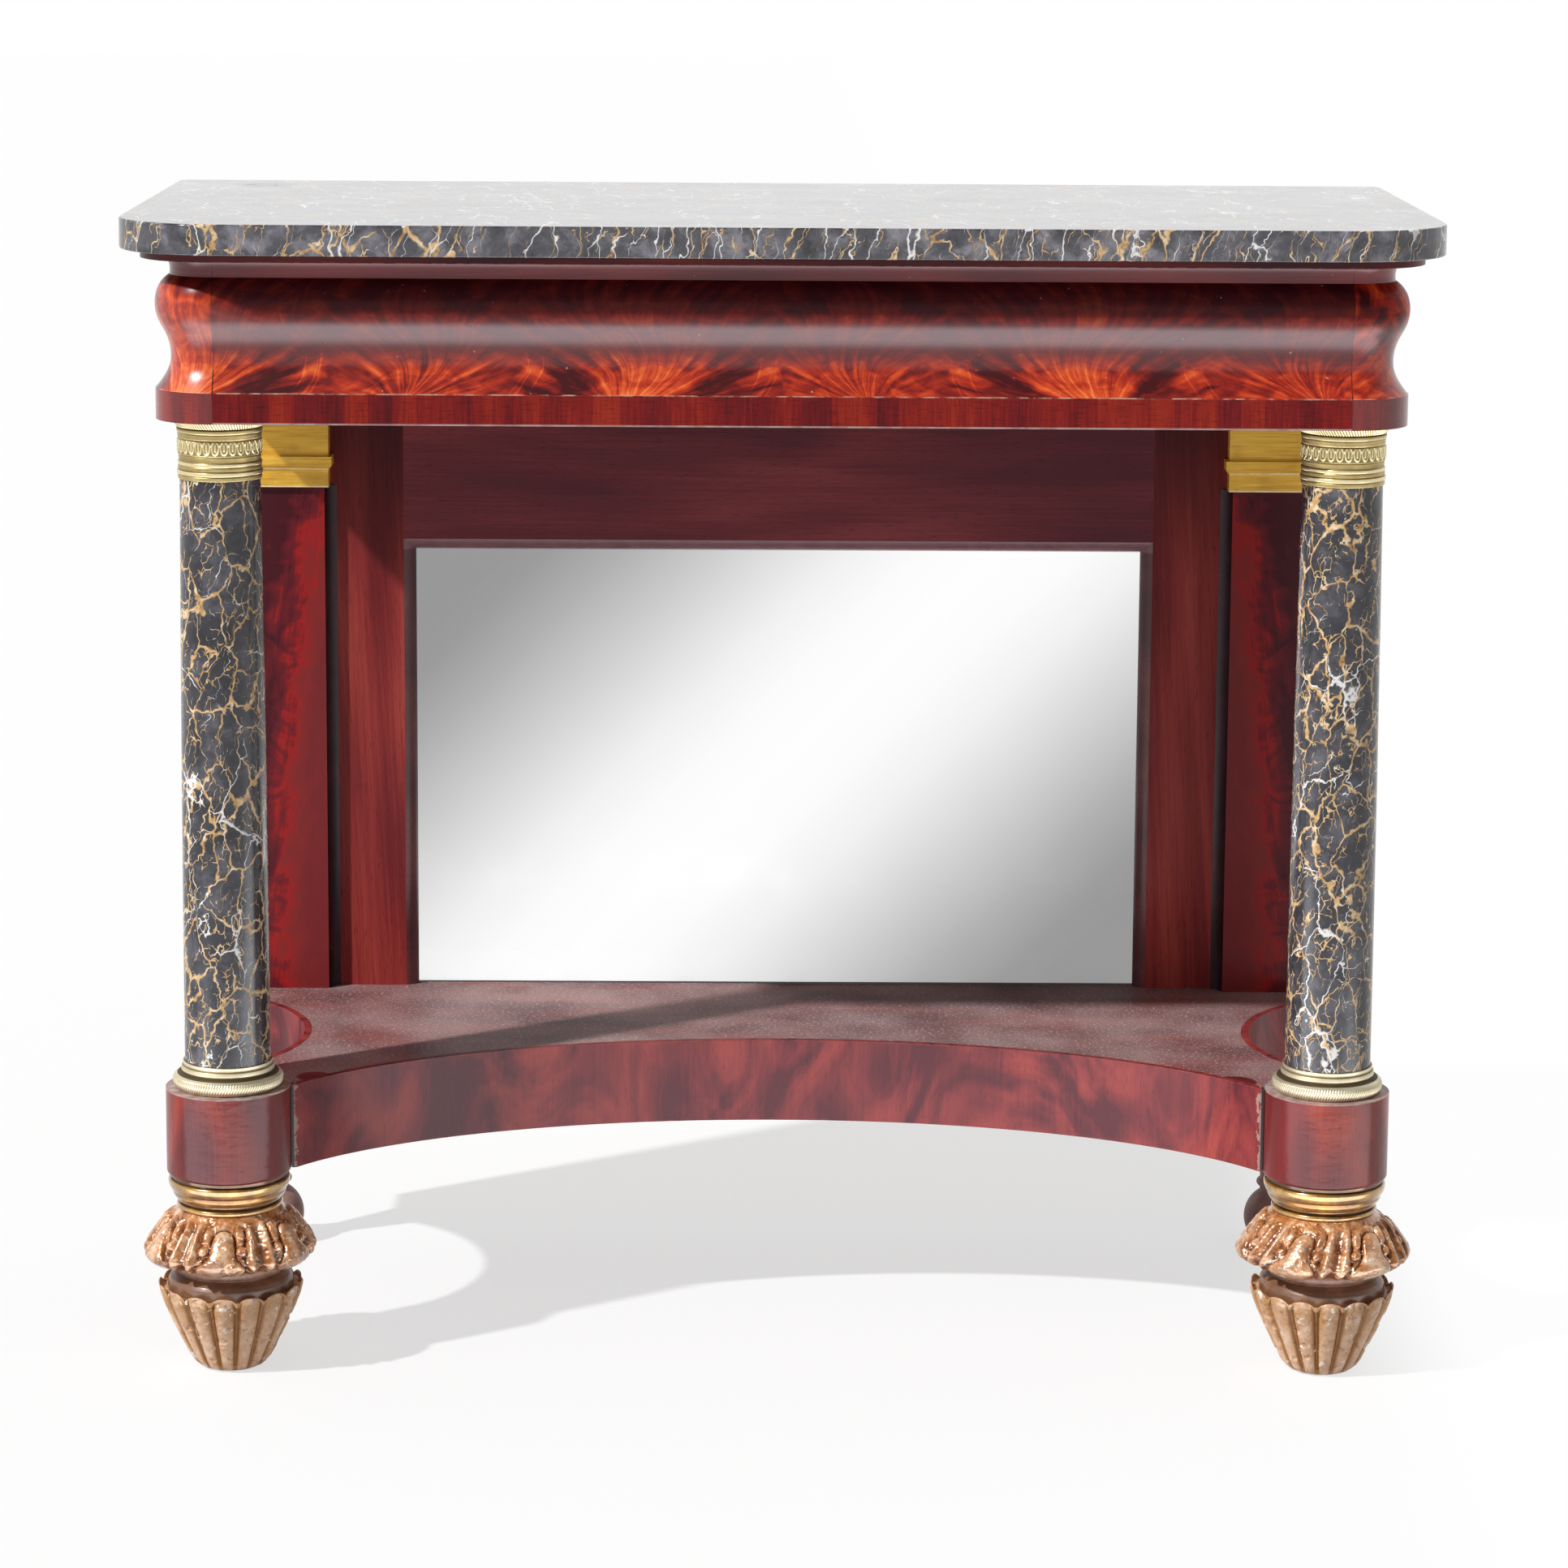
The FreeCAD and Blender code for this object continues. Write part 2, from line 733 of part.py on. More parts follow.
# The mitre is the slanting plane between an upright moulding and the top one
upright = moulding_section(lambda across, y: vector(stile_inner - across, y, shelf_top))
upright = upright.extrude(vector(0, 0, opening_top - shelf_top))
level = moulding_section(lambda across, y: vector(-stile_inner, y, opening_top - across))
level = level.extrude(vector(2 * stile_inner, 0, 0))
mitre_reach = moulding_width + overrun
mitre = prism(
    [
        vector(stile_inner + overrun, mirror_y - overrun, opening_top + overrun),
        vector(stile_inner - mitre_reach, mirror_y - overrun, opening_top - mitre_reach),
        vector(stile_inner - mitre_reach, mirror_y - overrun, opening_top + overrun),
    ],
    vector(0, stile_thickness + overrun, 0),
)
beside_mitre = prism(
    [
        vector(stile_inner + overrun, mirror_y - overrun, opening_top + overrun),
        vector(stile_inner - mitre_reach, mirror_y - overrun, opening_top - mitre_reach),
        vector(stile_inner + overrun, mirror_y - overrun, opening_top - mitre_reach),
    ],
    vector(0, stile_thickness + overrun, 0),
)
save_pair("mirror_moulding", upright.cut(mitre))
save("mirror_moulding_top", level.cut(beside_mitre).cut(mirrored(beside_mitre)))

glass_x = stile_inner - glass_edge_gap
save("mirror_glass", box(-glass_x, glass_x, glass_y, stile_back_y, shelf_top, opening_top - glass_edge_gap))

board_split = shelf_top + (frieze_bottom - shelf_top) * backboard_split_share
board_back_y = stile_back_y + backboard_thickness
save("backboard_lower", box(-post_inner, post_inner, stile_back_y, board_back_y, shelf_top, board_split))
save("backboard_upper", box(-post_inner, post_inner, stile_back_y, board_back_y, board_split, frieze_bottom))

# Front feet: a turned stem, a bell with carved lobes and a cone with petals
ring_top = foot_height - foot_groove_height
ring_bottom = ring_top - foot_ring_height
second_bottom = ring_bottom - foot_second_height
third_bottom = second_bottom - foot_third_height
neck_bottom = third_bottom - foot_neck_height
thin_bottom = neck_bottom - foot_thin_ring_height
bell_bottom = thin_bottom - bell_height
bead_bottom = bell_bottom - foot_bead_height
ovolo_bottom = bead_bottom - foot_ovolo_height
ovolo_rise = foot_ovolo_height * foot_ovolo_round_share
ovolo_reach = (foot_ovolo_radius - foot_bead_inner_radius) * foot_ovolo_round_share
dish_floor = cone_height - dish_floor_drop
stem_steps = [
    (0, foot_height + foot_tenon_length),
    (foot_tenon_radius, foot_height + foot_tenon_length),
    (foot_tenon_radius, foot_height),
    (foot_groove_radius, foot_height),
    (foot_groove_radius, ring_top),
    (foot_ring_inner_radius, ring_bottom, foot_ring_radius, (ring_top + ring_bottom) / 2),
    (foot_second_inner_radius, ring_bottom),
    (foot_second_inner_radius, second_bottom, foot_second_radius, (ring_bottom + second_bottom) / 2),
    (foot_third_inner_radius, second_bottom),
    (foot_third_inner_radius, third_bottom, foot_third_radius, (second_bottom + third_bottom) / 2),
    (foot_neck_radius, third_bottom),
    (foot_neck_radius, neck_bottom),
    (foot_thin_ring_radius, neck_bottom),
    (foot_thin_ring_radius, thin_bottom),
    (foot_neck_radius, thin_bottom),
    (foot_neck_radius, bell_bottom),
    (foot_bead_inner_radius, bell_bottom),
    (foot_bead_inner_radius, bead_bottom, foot_bead_radius, (bell_bottom + bead_bottom) / 2),
    (
        foot_ovolo_radius,
        ovolo_bottom,
        foot_bead_inner_radius + ovolo_reach,
        ovolo_bottom + ovolo_rise,
    ),
    (foot_ovolo_radius, dish_floor - overrun),
    (0, dish_floor - overrun),
]
stem = turned(stem_steps, column_x, column_y)


def lobed_wire(radius, lobe_depth, height, turn):
    point_count = bell_lobe_count * lobe_point_count
    points = []
    for index in range(point_count):
        angle = 2 * math.pi * index / point_count
        lobe = abs(math.cos(bell_lobe_count * angle / 2))
        reach = radius - lobe_depth * (1 - lobe)
        swung = angle + math.radians(turn)
        points.append(vector(column_x + reach * math.cos(swung), column_y + reach * math.sin(swung), height))
    curve = Part.BSplineCurve()
    curve.interpolate(Points=points, PeriodicFlag=True)
    return Part.Wire(curve.toShape())


bell_wires = []
for height_share, radius_share, lobe_share in zip(bell_height_shares, bell_radius_shares, bell_lobe_shares):
    bell_wires.append(
        lobed_wire(
            bell_radius * radius_share,
            bell_lobe_depth * lobe_share,
            bell_bottom + bell_height * height_share,
            bell_twist * height_share,
        )
    )
bell = Part.makeLoft(bell_wires, True, False)


def petal_wire(radius, height):
    # Petals stand out between grooves, drawn as one ring of arcs.
    def place(reach, angle):
        return vector(column_x + reach * math.cos(angle), column_y + reach * math.sin(angle), height)

    groove = radius * (1 - petal_depth_share)
    step = 2 * math.pi / petal_count
    arcs = []
    for index in range(petal_count):
        start = index * step
        arcs.append(
            arc(place(groove, start), place(radius, start + step / 2), place(groove, start + step))
        )
    return Part.Wire(arcs)


cone = Part.makeLoft(
    [
        petal_wire(cone_toe_radius, 0),
        petal_wire(cone_ankle_radius, cone_ankle_height),
        petal_wire(cone_rim_radius, cone_height - cone_rim_drop),
        petal_wire(cone_rim_radius, cone_height),
    ],
    True,
    True,
)
dish = turned(
    [
        (0, dish_floor),
        (dish_floor_radius, dish_floor),
        (cone_rim_radius, cone_height),
        (cone_rim_radius + overrun, cone_height + overrun),
        (0, cone_height + overrun),
    ],
    column_x,
    column_y,
)
save_pair("front_foot", cone.cut(dish).fuse(stem).fuse(bell))

# Rear feet: a ball, a ring and a tapering neck
ball_top = 2 * rear_ball_radius
rear_ring_top = ball_top + rear_ring_height
neck_top = rear_ring_top + rear_neck_height
head_foot = rail_bottom - rear_head_height
rear_steps = [
    (0, 0),
    (rear_toe_radius, 0),
    (rear_neck_radius, ball_top - rear_neck_height, rear_ball_radius, rear_ball_radius),
    (rear_neck_radius, ball_top),
    (rear_neck_radius, rear_ring_top, rear_ring_radius, (ball_top + rear_ring_top) / 2),
    (rear_neck_radius, neck_top),
    (rear_head_radius, head_foot),
    (rear_head_radius, rail_bottom),
    (rear_tenon_radius, rail_bottom),
    (rear_tenon_radius, rail_bottom + rear_tenon_length),
    (0, rail_bottom + rear_tenon_length),
]
save_pair("rear_foot", turned(rear_steps, rear_foot_x, rear_foot_y))
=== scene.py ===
import math
from functools import partial

import bpy
import numpy as np
from mathutils import Matrix, Vector, noise


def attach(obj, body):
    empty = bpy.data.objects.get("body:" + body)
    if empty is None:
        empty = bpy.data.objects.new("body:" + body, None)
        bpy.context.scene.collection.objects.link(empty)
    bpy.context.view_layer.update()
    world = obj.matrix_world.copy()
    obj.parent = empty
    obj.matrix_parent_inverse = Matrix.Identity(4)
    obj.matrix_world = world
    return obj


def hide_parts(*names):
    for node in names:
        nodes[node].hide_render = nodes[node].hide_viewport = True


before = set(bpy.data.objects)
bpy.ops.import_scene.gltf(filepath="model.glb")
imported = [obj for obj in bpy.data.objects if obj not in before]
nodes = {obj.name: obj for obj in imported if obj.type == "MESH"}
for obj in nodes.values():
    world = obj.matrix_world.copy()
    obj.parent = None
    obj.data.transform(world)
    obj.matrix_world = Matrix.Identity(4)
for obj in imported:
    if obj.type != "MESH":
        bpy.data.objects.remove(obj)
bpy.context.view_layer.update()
scene = bpy.context.scene
scene.view_settings.view_transform = "Standard"
print("frame loaded:", len(nodes), "nodes")

# columns, drums, front feet and frieze corners are centred on it, left and right
columnAxisMm = (447.0, -167.0)


def linear(hexColour):
    # sRGB hex to linear RGBA
    parts = [int(hexColour[i:i + 2], 16) / 255 for i in (1, 3, 5)]
    return [p / 12.92 if p <= 0.04045 else ((p + 0.055) / 1.055) ** 2.4 for p in parts] + [1.0]


def mm(*sizes):
    # real sizes in mm as the metres that object coordinates use
    return [size / 1000 for size in sizes]


def outputOf(source):
    # a node stands for its first output in use
    if isinstance(source, bpy.types.Node):
        return next(s for s in source.outputs if s.enabled)
    return source


def addNode(tree, kind, inputs=(), stops=None, **settings):
    # one shader node: its settings, its ramp's stops, then its inputs by place among those in use or by name;
    # an input is a node, one output of a node, a hex colour or a plain value
    node = tree.nodes.new("ShaderNode" + kind)
    for name, value in settings.items():
        setattr(node, name, value)
    if stops:
        ramp = node.color_ramp.elements
        ramp.remove(ramp[1])
        ramp[0].position = stops[0][0]
        ramp[0].color = linear(stops[0][1])
        for place, colour in stops[1:]:
            ramp.new(place).color = linear(colour)
    inUse = [s for s in node.inputs if s.enabled]
    pairs = inputs.items() if isinstance(inputs, dict) else enumerate(inputs)
    for key, value in pairs:
        socket = inUse[key] if isinstance(key, int) else next(s for s in inUse if s.name == key)
        value = outputOf(value)
        if isinstance(value, bpy.types.NodeSocket):
            tree.links.new(value, socket)
        else:
            socket.default_value = linear(value) if isinstance(value, str) else value
    return node


def newFinish(name, **sockets):
    # a material with what adds its nodes, its principled shader and its object coordinates
    finish = bpy.data.materials.new(name)
    finish.use_nodes = True
    add = partial(addNode, finish.node_tree)
    shader = finish.node_tree.nodes["Principled BSDF"]
    for key, value in sockets.items():  # what is the same all over goes on the shader's own sockets
        shader.inputs[key.replace("_", " ")].default_value = value
    return finish, add, shader, add("TexCoord").outputs["Object"]


def plug(shader, **sources):
    # what varies over the surface, linked to the shader's sockets
    for key, source in sources.items():
        shader.id_data.links.new(outputOf(source), shader.inputs[key.replace("_", " ")])


def stretchedNoise(add, place, sizeMm, turn=(0, 0, 0), **shape):
    # noise whose patches have a real size along each axis
    stretched = add("Mapping", {"Vector": place, "Scale": mm(*sizeMm), "Rotation": turn},
                    vector_type="TEXTURE")
    return add("TexNoise", {"Vector": stretched, "Scale": 1.0, **shape})


def edgeWearAndPaintedLight(add, place, edges, chipMm, least):
    # broken lines along arrises, for rubbed wear, chips and dark seams, and also for a painted shadow line
    # and a painted reflection band: each edge is (axis, place in mm, half width in mm)
    axes = add("SeparateXYZ", (place,))
    mask = None
    for axis, at, half in edges:
        line = add("Math", (axes.outputs[axis], at / 1000, half / 1000), operation="COMPARE")
        mask = line if mask is None else add("Math", (mask, line), operation="MAXIMUM")
    chips = add("TexNoise", {"Vector": place, "Scale": 1000 / chipMm, "Detail": 3.0, "Roughness": 0.6})
    broken = add("MapRange", (chips, 0.42, 0.60, least, 0.9))
    return add("Math", (mask, broken), operation="MULTIPLY")


def woodGrain(add, place, look):
    # broad figure, leaning as the log was cut, and fine lines along the board
    lean = look.get("lean", (0, 0, 0))
    figure = stretchedNoise(add, place, look["figureMm"], lean, Detail=look.get("detail", 1.5), Roughness=0.5,
                            Distortion=look["warp"])
    lines = stretchedNoise(add, place, look["lineMm"], lean, Detail=4.0, Roughness=0.65)
    value = add("Math", (lines, look["lineShare"], figure), operation="MULTIPLY_ADD")
    return add("Math", (value, look["lineShare"] / 2), operation="SUBTRACT"), lines


def polishedWood(name, look):
    # French-polished mahogany: a clear shellac film over open grain, so it shows deep red with a soft sheen
    finish, add, shader, place = newFinish(
        name, Roughness=look.get("rough", 0.36), Coat_Weight=look.get("film", 0.35), Coat_Roughness=0.18,
        Coat_IOR=1.52, Specular_IOR_Level=look.get("gloss", 0.3))
    value, lines = woodGrain(add, place, look)
    axes = add("SeparateXYZ", (place,))
    out = add("Math", (axes.outputs["X"],), operation="ABSOLUTE")
    colour = add("ValToRGB", (value,), stops=look["stops"])
    pores = stretchedNoise(add, place, look["poreMm"], Detail=1.0)  # drawn some four times as wide, to show
    poreMask = add("MapRange", (pores, 0.62, 0.72, 0.0, 0.4))
    colour = add("Mix", (poreMask, colour, "#1c090b"), data_type="RGBA")
    if "dust" in look:  # pale specks of dust that settled on the flat, in drifts
        # specks drawn about twice as coarse as real, to show
        speck = add("TexNoise", {"Vector": place, "Scale": 1000 / 2.8, "Detail": 1.0, "Roughness": 0.8})
        drift = add("TexNoise", {"Vector": place, "Scale": 1000 / 80, "Detail": 2.0})
        film = add("MapRange", (drift, 0.35, 0.65, 0.22, look["dust"]))
        grains = add("MapRange", (speck, 0.56, 0.72, 0.0, 0.75))
        both = add("Math", (grains, film), operation="ADD", use_clamp=True)
        for centre, radiusMm in look["wipesMm"]:  # spots wiped clean
            way = add("VectorMath", (place, mm(*centre)), operation="DISTANCE").outputs["Value"]
            kept = add("MapRange", (way, radiusMm / 1000, (radiusMm + 2) / 1000, 0.0, 1.0))
            both = add("Math", (both, kept), operation="MULTIPLY")
        colour = add("Mix", (both, colour, "#bba19e"), data_type="RGBA")
        plug(shader, Roughness=add("MapRange", (both, 0.0, 0.7, 0.30, 0.55)))
    if "inner" in look:  # redder on the inner side
        inner = add("MapRange", (out, *mm(*look["innerMm"]), 0.0, 0.75), interpolation_type="SMOOTHSTEP")
        colour = add("Mix", (inner, colour, look["inner"]), data_type="RGBA")
    if "bareTop" in look:  # the film is gone from the flat top
        facing = add("SeparateXYZ", (add("NewGeometry").outputs["Normal"],)).outputs["Z"]
        film = add("MapRange", (facing, 0.8, 0.95, look["film"], 0.0))
        plug(shader, Coat_Weight=film)
    if "head" in look:  # painted shade: darker towards the top
        fromMm, toMm, most = look["head"]
        head = add("MapRange", (axes.outputs["Z"], fromMm / 1000, toMm / 1000, 0.0, most))
        colour = add("Mix", (head, colour, "#240810"), data_type="RGBA")
    if "crackMm" in look:  # the joint against the drum: an open dark line with pale chips along it
        gapMm, chipMm = look["crackMm"]
        flat = add("CombineXYZ", (out, axes.outputs["Y"]))
        away = add("VectorMath", (flat, mm(*columnAxisMm, 0)), operation="DISTANCE").outputs["Value"]
        chips = add("TexNoise", {"Vector": place, "Scale": 1000 / 6, "Detail": 3.0})
        reach = add("MapRange", (chips, 0.4, 0.7, *mm(gapMm, chipMm)))
        chipped = add("Math", (away, reach), operation="LESS_THAN")
        colour = add("Mix", (chipped, colour, "#b08a80"), data_type="RGBA")
        gap = add("Math", (away, gapMm / 1000), operation="LESS_THAN")
        colour = add("Mix", (gap, colour, "#170707"), data_type="RGBA")
    # pale bands along arrises: rubbed wear, and on the mirror moulding's top piece a painted reflection
    if "edges" in look:
        mask = edgeWearAndPaintedLight(add, place, look["edges"], 9.0, look["edgeLeast"])
        colour = add("Mix", (mask, colour, look["edgeTone"]), data_type="RGBA")
    bump = add("Bump", {"Strength": 0.2, "Distance": 0.0001, "Height": lines})
    if "chatterMm" in look:  # shallow ripples that the lathe tool left
        chatter = stretchedNoise(add, place, look["chatterMm"], Detail=2.0)
        bump = add("Bump", {"Strength": 0.6, "Distance": 0.0005, "Height": chatter, "Normal": bump})
        plug(shader, Coat_Normal=bump)
    plug(shader, Base_Color=colour, Normal=bump)
    return finish


redStops = [(0.30, "#4a1a20"), (0.46, "#5c2124"), (0.58, "#702826"), (0.72, "#86352c")]
darkStops = [(0.30, "#3a141b"), (0.48, "#541b20"), (0.62, "#6a2425"), (0.78, "#80302c")]

woodLooks = {
    "filletBoard": dict(figureMm=(140, 40, 14), lineMm=(70, 3, 1.2), poreMm=(9, 0.9, 0.7), warp=0.2,
                        lineShare=0.4, stops=darkStops, film=0.1, gloss=0.15,
                        edges=[("Z", 909.3, 0.3)], edgeTone="#9a5f56", edgeLeast=0.0),
    "backStile": dict(figureMm=(34, 34, 300), lineMm=(2.2, 2.2, 110), poreMm=(0.8, 0.8, 12), warp=0.25,
                      lineShare=0.5, lean=(0.0, -0.05, 0.0), film=0.04, gloss=0.08, rough=0.4,
                      # head is painted shade on the stiles' tops
                      head=(600, 740, 0.72),
                      stops=[(0.28, "#702226"), (0.46, "#8a302f"), (0.60, "#9e3d38"), (0.78, "#b24f44")]),
    "topRail": dict(figureMm=(200, 40, 40), lineMm=(90, 3, 1.8), poreMm=(10, 0.9, 0.8), warp=0.3,
                    lineShare=0.5,
                    stops=[(0.30, "#632630"), (0.48, "#7a3038"), (0.62, "#8b3a40"), (0.78, "#9c474a")],
                    gloss=0.12, film=0.05),
    "shelfBoard": dict(figureMm=(150, 34, 34), lineMm=(80, 2.6, 2.6), poreMm=(9, 0.9, 0.9), warp=0.3,
                       lineShare=0.35, stops=redStops, dust=0.54, film=0.3,
                       wipesMm=[((-380, -140, 235), 13), ((374, -146, 235), 17)]),
    "baseRail": dict(figureMm=(75, 75, 150), lineMm=(2.6, 2.6, 60), poreMm=(0.9, 0.9, 8), warp=1.8,
                     lineShare=0.16, detail=3.0, film=0.16, gloss=0.16, crackMm=(53.0, 57.5),
                     stops=[(0.38, "#5a1d26"), (0.47, "#7c2c31"), (0.56, "#963838"), (0.68, "#ac463e")],
                     edges=[("Z", 234.7, 0.6), ("Z", 166.0, 0.6)], edgeTone="#8c3d36", edgeLeast=0.0),
    "plinthDrum": dict(figureMm=(70, 70, 160), lineMm=(3.0, 3.0, 60), poreMm=(0.9, 0.9, 8), warp=0.9,
                       lineShare=0.2, film=0.32, gloss=0.16, rough=0.34, bareTop=True,
                       stops=[(0.34, "#370c13"), (0.46, "#5e1a1e"), (0.57, "#8a2c25"), (0.70, "#b2422c")],
                       chatterMm=(15, 15, 6), inner="#7c1a1a", innerMm=(438, 412),
                       edges=[("Z", 235.4, 1.1)], edgeTone="#b9aaa4", edgeLeast=0.45),
    # the broad pale band on the moulding's top piece is a painted reflection
    "mirrorMoulding": dict(figureMm=(60, 60, 60), lineMm=(2.5, 2.5, 2.5), poreMm=(1.5, 1.5, 1.5), warp=0.3,
                           lineShare=0.3,
                           stops=[(0.30, "#4a2226"), (0.48, "#613032"), (0.62, "#754041"), (0.78, "#8a5250")],
                           film=0.12, gloss=0.25, rough=0.4, edges=[("Z", 629.5, 5.0)], edgeTone="#8a6066",
                           edgeLeast=0.7),
}


friezeTurnMm = 217.0  # the front's figure goes on along the sides from this far before the middle


def roundFrieze(add, place):
    # metres along the frieze, carried on round both front corners, and the height
    axes = add("SeparateXYZ", (place,))
    side = add("Math", (axes.outputs["X"],), operation="SIGN")
    back = add("Math", (axes.outputs["Y"], friezeTurnMm / 1000), operation="ADD")
    along = add("Math", (back, side, axes.outputs["X"]), operation="MULTIPLY_ADD")
    return along, axes.outputs["Z"]


def crossBandColour(add, place):
    # cross-banding: strips about 19 mm wide with the grain on end, each its own red, with fine checks across
    along, up = roundFrieze(add, place)
    strips = add("TexVoronoi", {"W": along, "Scale": 1000 / 19}, voronoi_dimensions="1D")
    stripTone = add("SeparateColor", (strips.outputs["Color"],)).outputs["Red"]
    grid = add("CombineXYZ", (along, up))
    linePlace = add("Mapping", {"Vector": grid, "Scale": mm(2.4, 40, 1)}, vector_type="TEXTURE")
    lines = add("TexNoise", {"Vector": linePlace, "Scale": 1.0, "Detail": 4.0, "Roughness": 0.68})
    broad = add("TexNoise", {"Vector": linePlace, "Scale": 0.09, "Detail": 1.0})
    value = add("Math", (stripTone, 0.18), operation="MULTIPLY")
    value = add("Math", (lines, 0.6, value), operation="MULTIPLY_ADD")
    value = add("Math", (broad, 0.5, value), operation="MULTIPLY_ADD")
    colour = add("ValToRGB", (value,),
                 stops=[(0.44, "#561116"), (0.58, "#741619"), (0.70, "#8a2019"), (0.86, "#a2301c")])
    checks = stretchedNoise(add, grid, (16, 1.2, 1), Detail=2.0)
    checkMask = add("MapRange", (checks, 0.55, 0.68, 0.0, 0.45))
    colour = add("Mix", (checkMask, colour, "#26090b"), data_type="RGBA")
    return colour, lines


def crossBandVeneer():
    # knife-cut veneer under shellac: a low sheen, both edges rubbed pale and the upper one chipped
    finish, add, shader, place = newFinish("crossBandMahoganyPolished", Roughness=0.36, Coat_Weight=0.08,
                                           Coat_Roughness=0.2, Coat_IOR=1.52, Specular_IOR_Level=0.1)
    colour, lines = crossBandColour(add, place)
    chipped = edgeWearAndPaintedLight(add, place, [("Z", 805.3, 0.35)], 11.0, 0.1)
    colour = add("Mix", (chipped, colour, "#b98a76"), data_type="RGBA")
    worn = edgeWearAndPaintedLight(add, place, [("Z", 781.6, 0.8)], 14.0, 0.55)
    colour = add("Mix", (worn, colour, "#b9a09c"), data_type="RGBA")
    bump = add("Bump", {"Strength": 0.3, "Distance": 0.0001, "Height": lines})
    plug(shader, Base_Color=colour, Normal=bump)
    return finish


def friezeVeneer():
    # crotch mahogany, cut where a branch leaves the trunk: mirrored fans of orange rays under a clear film
    look = dict(leafMm=178.7, fanAtMm=-115.0, fanFootMm=793.0, seamFootMm=798.0, bandMm=805.5, neckMm=895.5,
                nearSeamMm=(85, 125), glowMm=(2, 42), glowUpMm=(808, 845), darkInMm=(30, 44),
                darkOutMm=(54, 70), threadsMm=11.0, sunkMm=(828, 842), risenMm=(856, 866), shadeMm=(858, 880),
                dullMm=(856, 872), shadeRiseMm=(-497, -411, 26, 0))
    cornerMm, cornerBackMm = columnAxisMm  # the corner blocks meet the rails at the column's axis
    finish, add, shader, place = newFinish("crotchMahoganyPolished", Roughness=0.34, Coat_Roughness=0.28,
                                           Coat_IOR=1.52, Specular_IOR_Level=0.08)
    along, up = roundFrieze(add, place)
    # book-matched: each leaf mirrors the one before it, so the figure depends on the way from the fan's seam
    leaf = look["leafMm"] / 1000
    fromFan = add("Math", (along, look["fanAtMm"] / 1000), operation="SUBTRACT")
    across = add("Math", (fromFan, leaf), operation="PINGPONG")
    leafNumber = add("Math", (fromFan, leaf), operation="DIVIDE")
    leafNumber = add("Math", (leafNumber,), operation="FLOOR")
    cut = add("Math", (leafNumber, 0.0009), operation="MULTIPLY")  # the next leaf is cut a little deeper
    leafPlace = add("CombineXYZ", (across, up, cut))
    drift = add("TexNoise", {"Vector": leafPlace, "Scale": 1000 / 30, "Detail": 3.0})
    shift = add("VectorMath", (drift.outputs["Color"], (0.5, 0.5, 0.5)), operation="SUBTRACT")
    bent = add("VectorMath", (shift, mm(11, 5, 0), leafPlace), operation="MULTIPLY_ADD")
    # rays spread from the fan's foot and, weaker, from the foot of the seam at the leaf's other edge
    fans = []
    feet = ((0.0, look["fanFootMm"], 0.12), (look["leafMm"], look["seamFootMm"], 0.16))
    for acrossMm, footMm, rayTurn in feet:
        way = add("VectorMath", (bent, mm(acrossMm, footMm, 0)), operation="SUBTRACT")
        wayAxes = add("SeparateXYZ", (way,))
        turn = add("Math", (wayAxes.outputs["X"], wayAxes.outputs["Y"]), operation="ARCTAN2")
        reach = add("VectorMath", (way,), operation="LENGTH").outputs["Value"]
        fanPlace = add("CombineXYZ", (turn, reach, cut))
        rayPlace = add("Mapping", {"Vector": fanPlace, "Scale": (rayTurn, 0.08, 0.01)}, vector_type="TEXTURE")
        fans.append(add("TexNoise", {"Vector": rayPlace, "Scale": 1.0, "Detail": 4.0, "Roughness": 0.6}))
    bentAxes = add("SeparateXYZ", (bent,))
    acrossBent = bentAxes.outputs["X"]
    nearSeam = add("MapRange", (acrossBent, *mm(*look["nearSeamMm"]), 0.0, 1.0),
                   interpolation_type="SMOOTHSTEP")
    rays = add("Mix", (nearSeam, fans[0], fans[1]), data_type="FLOAT")
    patches = stretchedNoise(add, bent, (24, 13, 12), Detail=3.0, Distortion=1.2)
    value = add("Math", (patches, 0.55, rays), operation="MULTIPLY_ADD")
    # the fan glows about its foot, a dark band leans away beside it, and steep bright threads stand mid leaf
    glow = add("MapRange", (acrossBent, *mm(*look["glowMm"]), 0.24, 0.0), interpolation_type="SMOOTHSTEP")
    low = add("MapRange", (up, *mm(*look["glowUpMm"]), 1.0, 0.25))
    value = add("Math", (glow, low, value), operation="MULTIPLY_ADD")
    lean = add("Math", (up, -1.2, acrossBent), operation="MULTIPLY_ADD")
    lean = add("Math", (lean, 1.2 * look["bandMm"] / 1000), operation="ADD")
    darkIn = add("MapRange", (lean, *mm(*look["darkInMm"]), 0.0, -0.16), interpolation_type="SMOOTHSTEP")
    darkOut = add("MapRange", (lean, *mm(*look["darkOutMm"]), 1.0, 0.0), interpolation_type="SMOOTHSTEP")
    value = add("Math", (darkIn, darkOut, value), operation="MULTIPLY_ADD")
    threads = stretchedNoise(add, bent, (2.4, 60, 12), Detail=2.0)
    threads = add("MapRange", (threads, 0.54, 0.66, 0.0, 0.13))
    middle = add("Math", (acrossBent, leaf / 2, look["threadsMm"] / 1000), operation="COMPARE")
    value = add("Math", (threads, middle, value), operation="MULTIPLY_ADD")
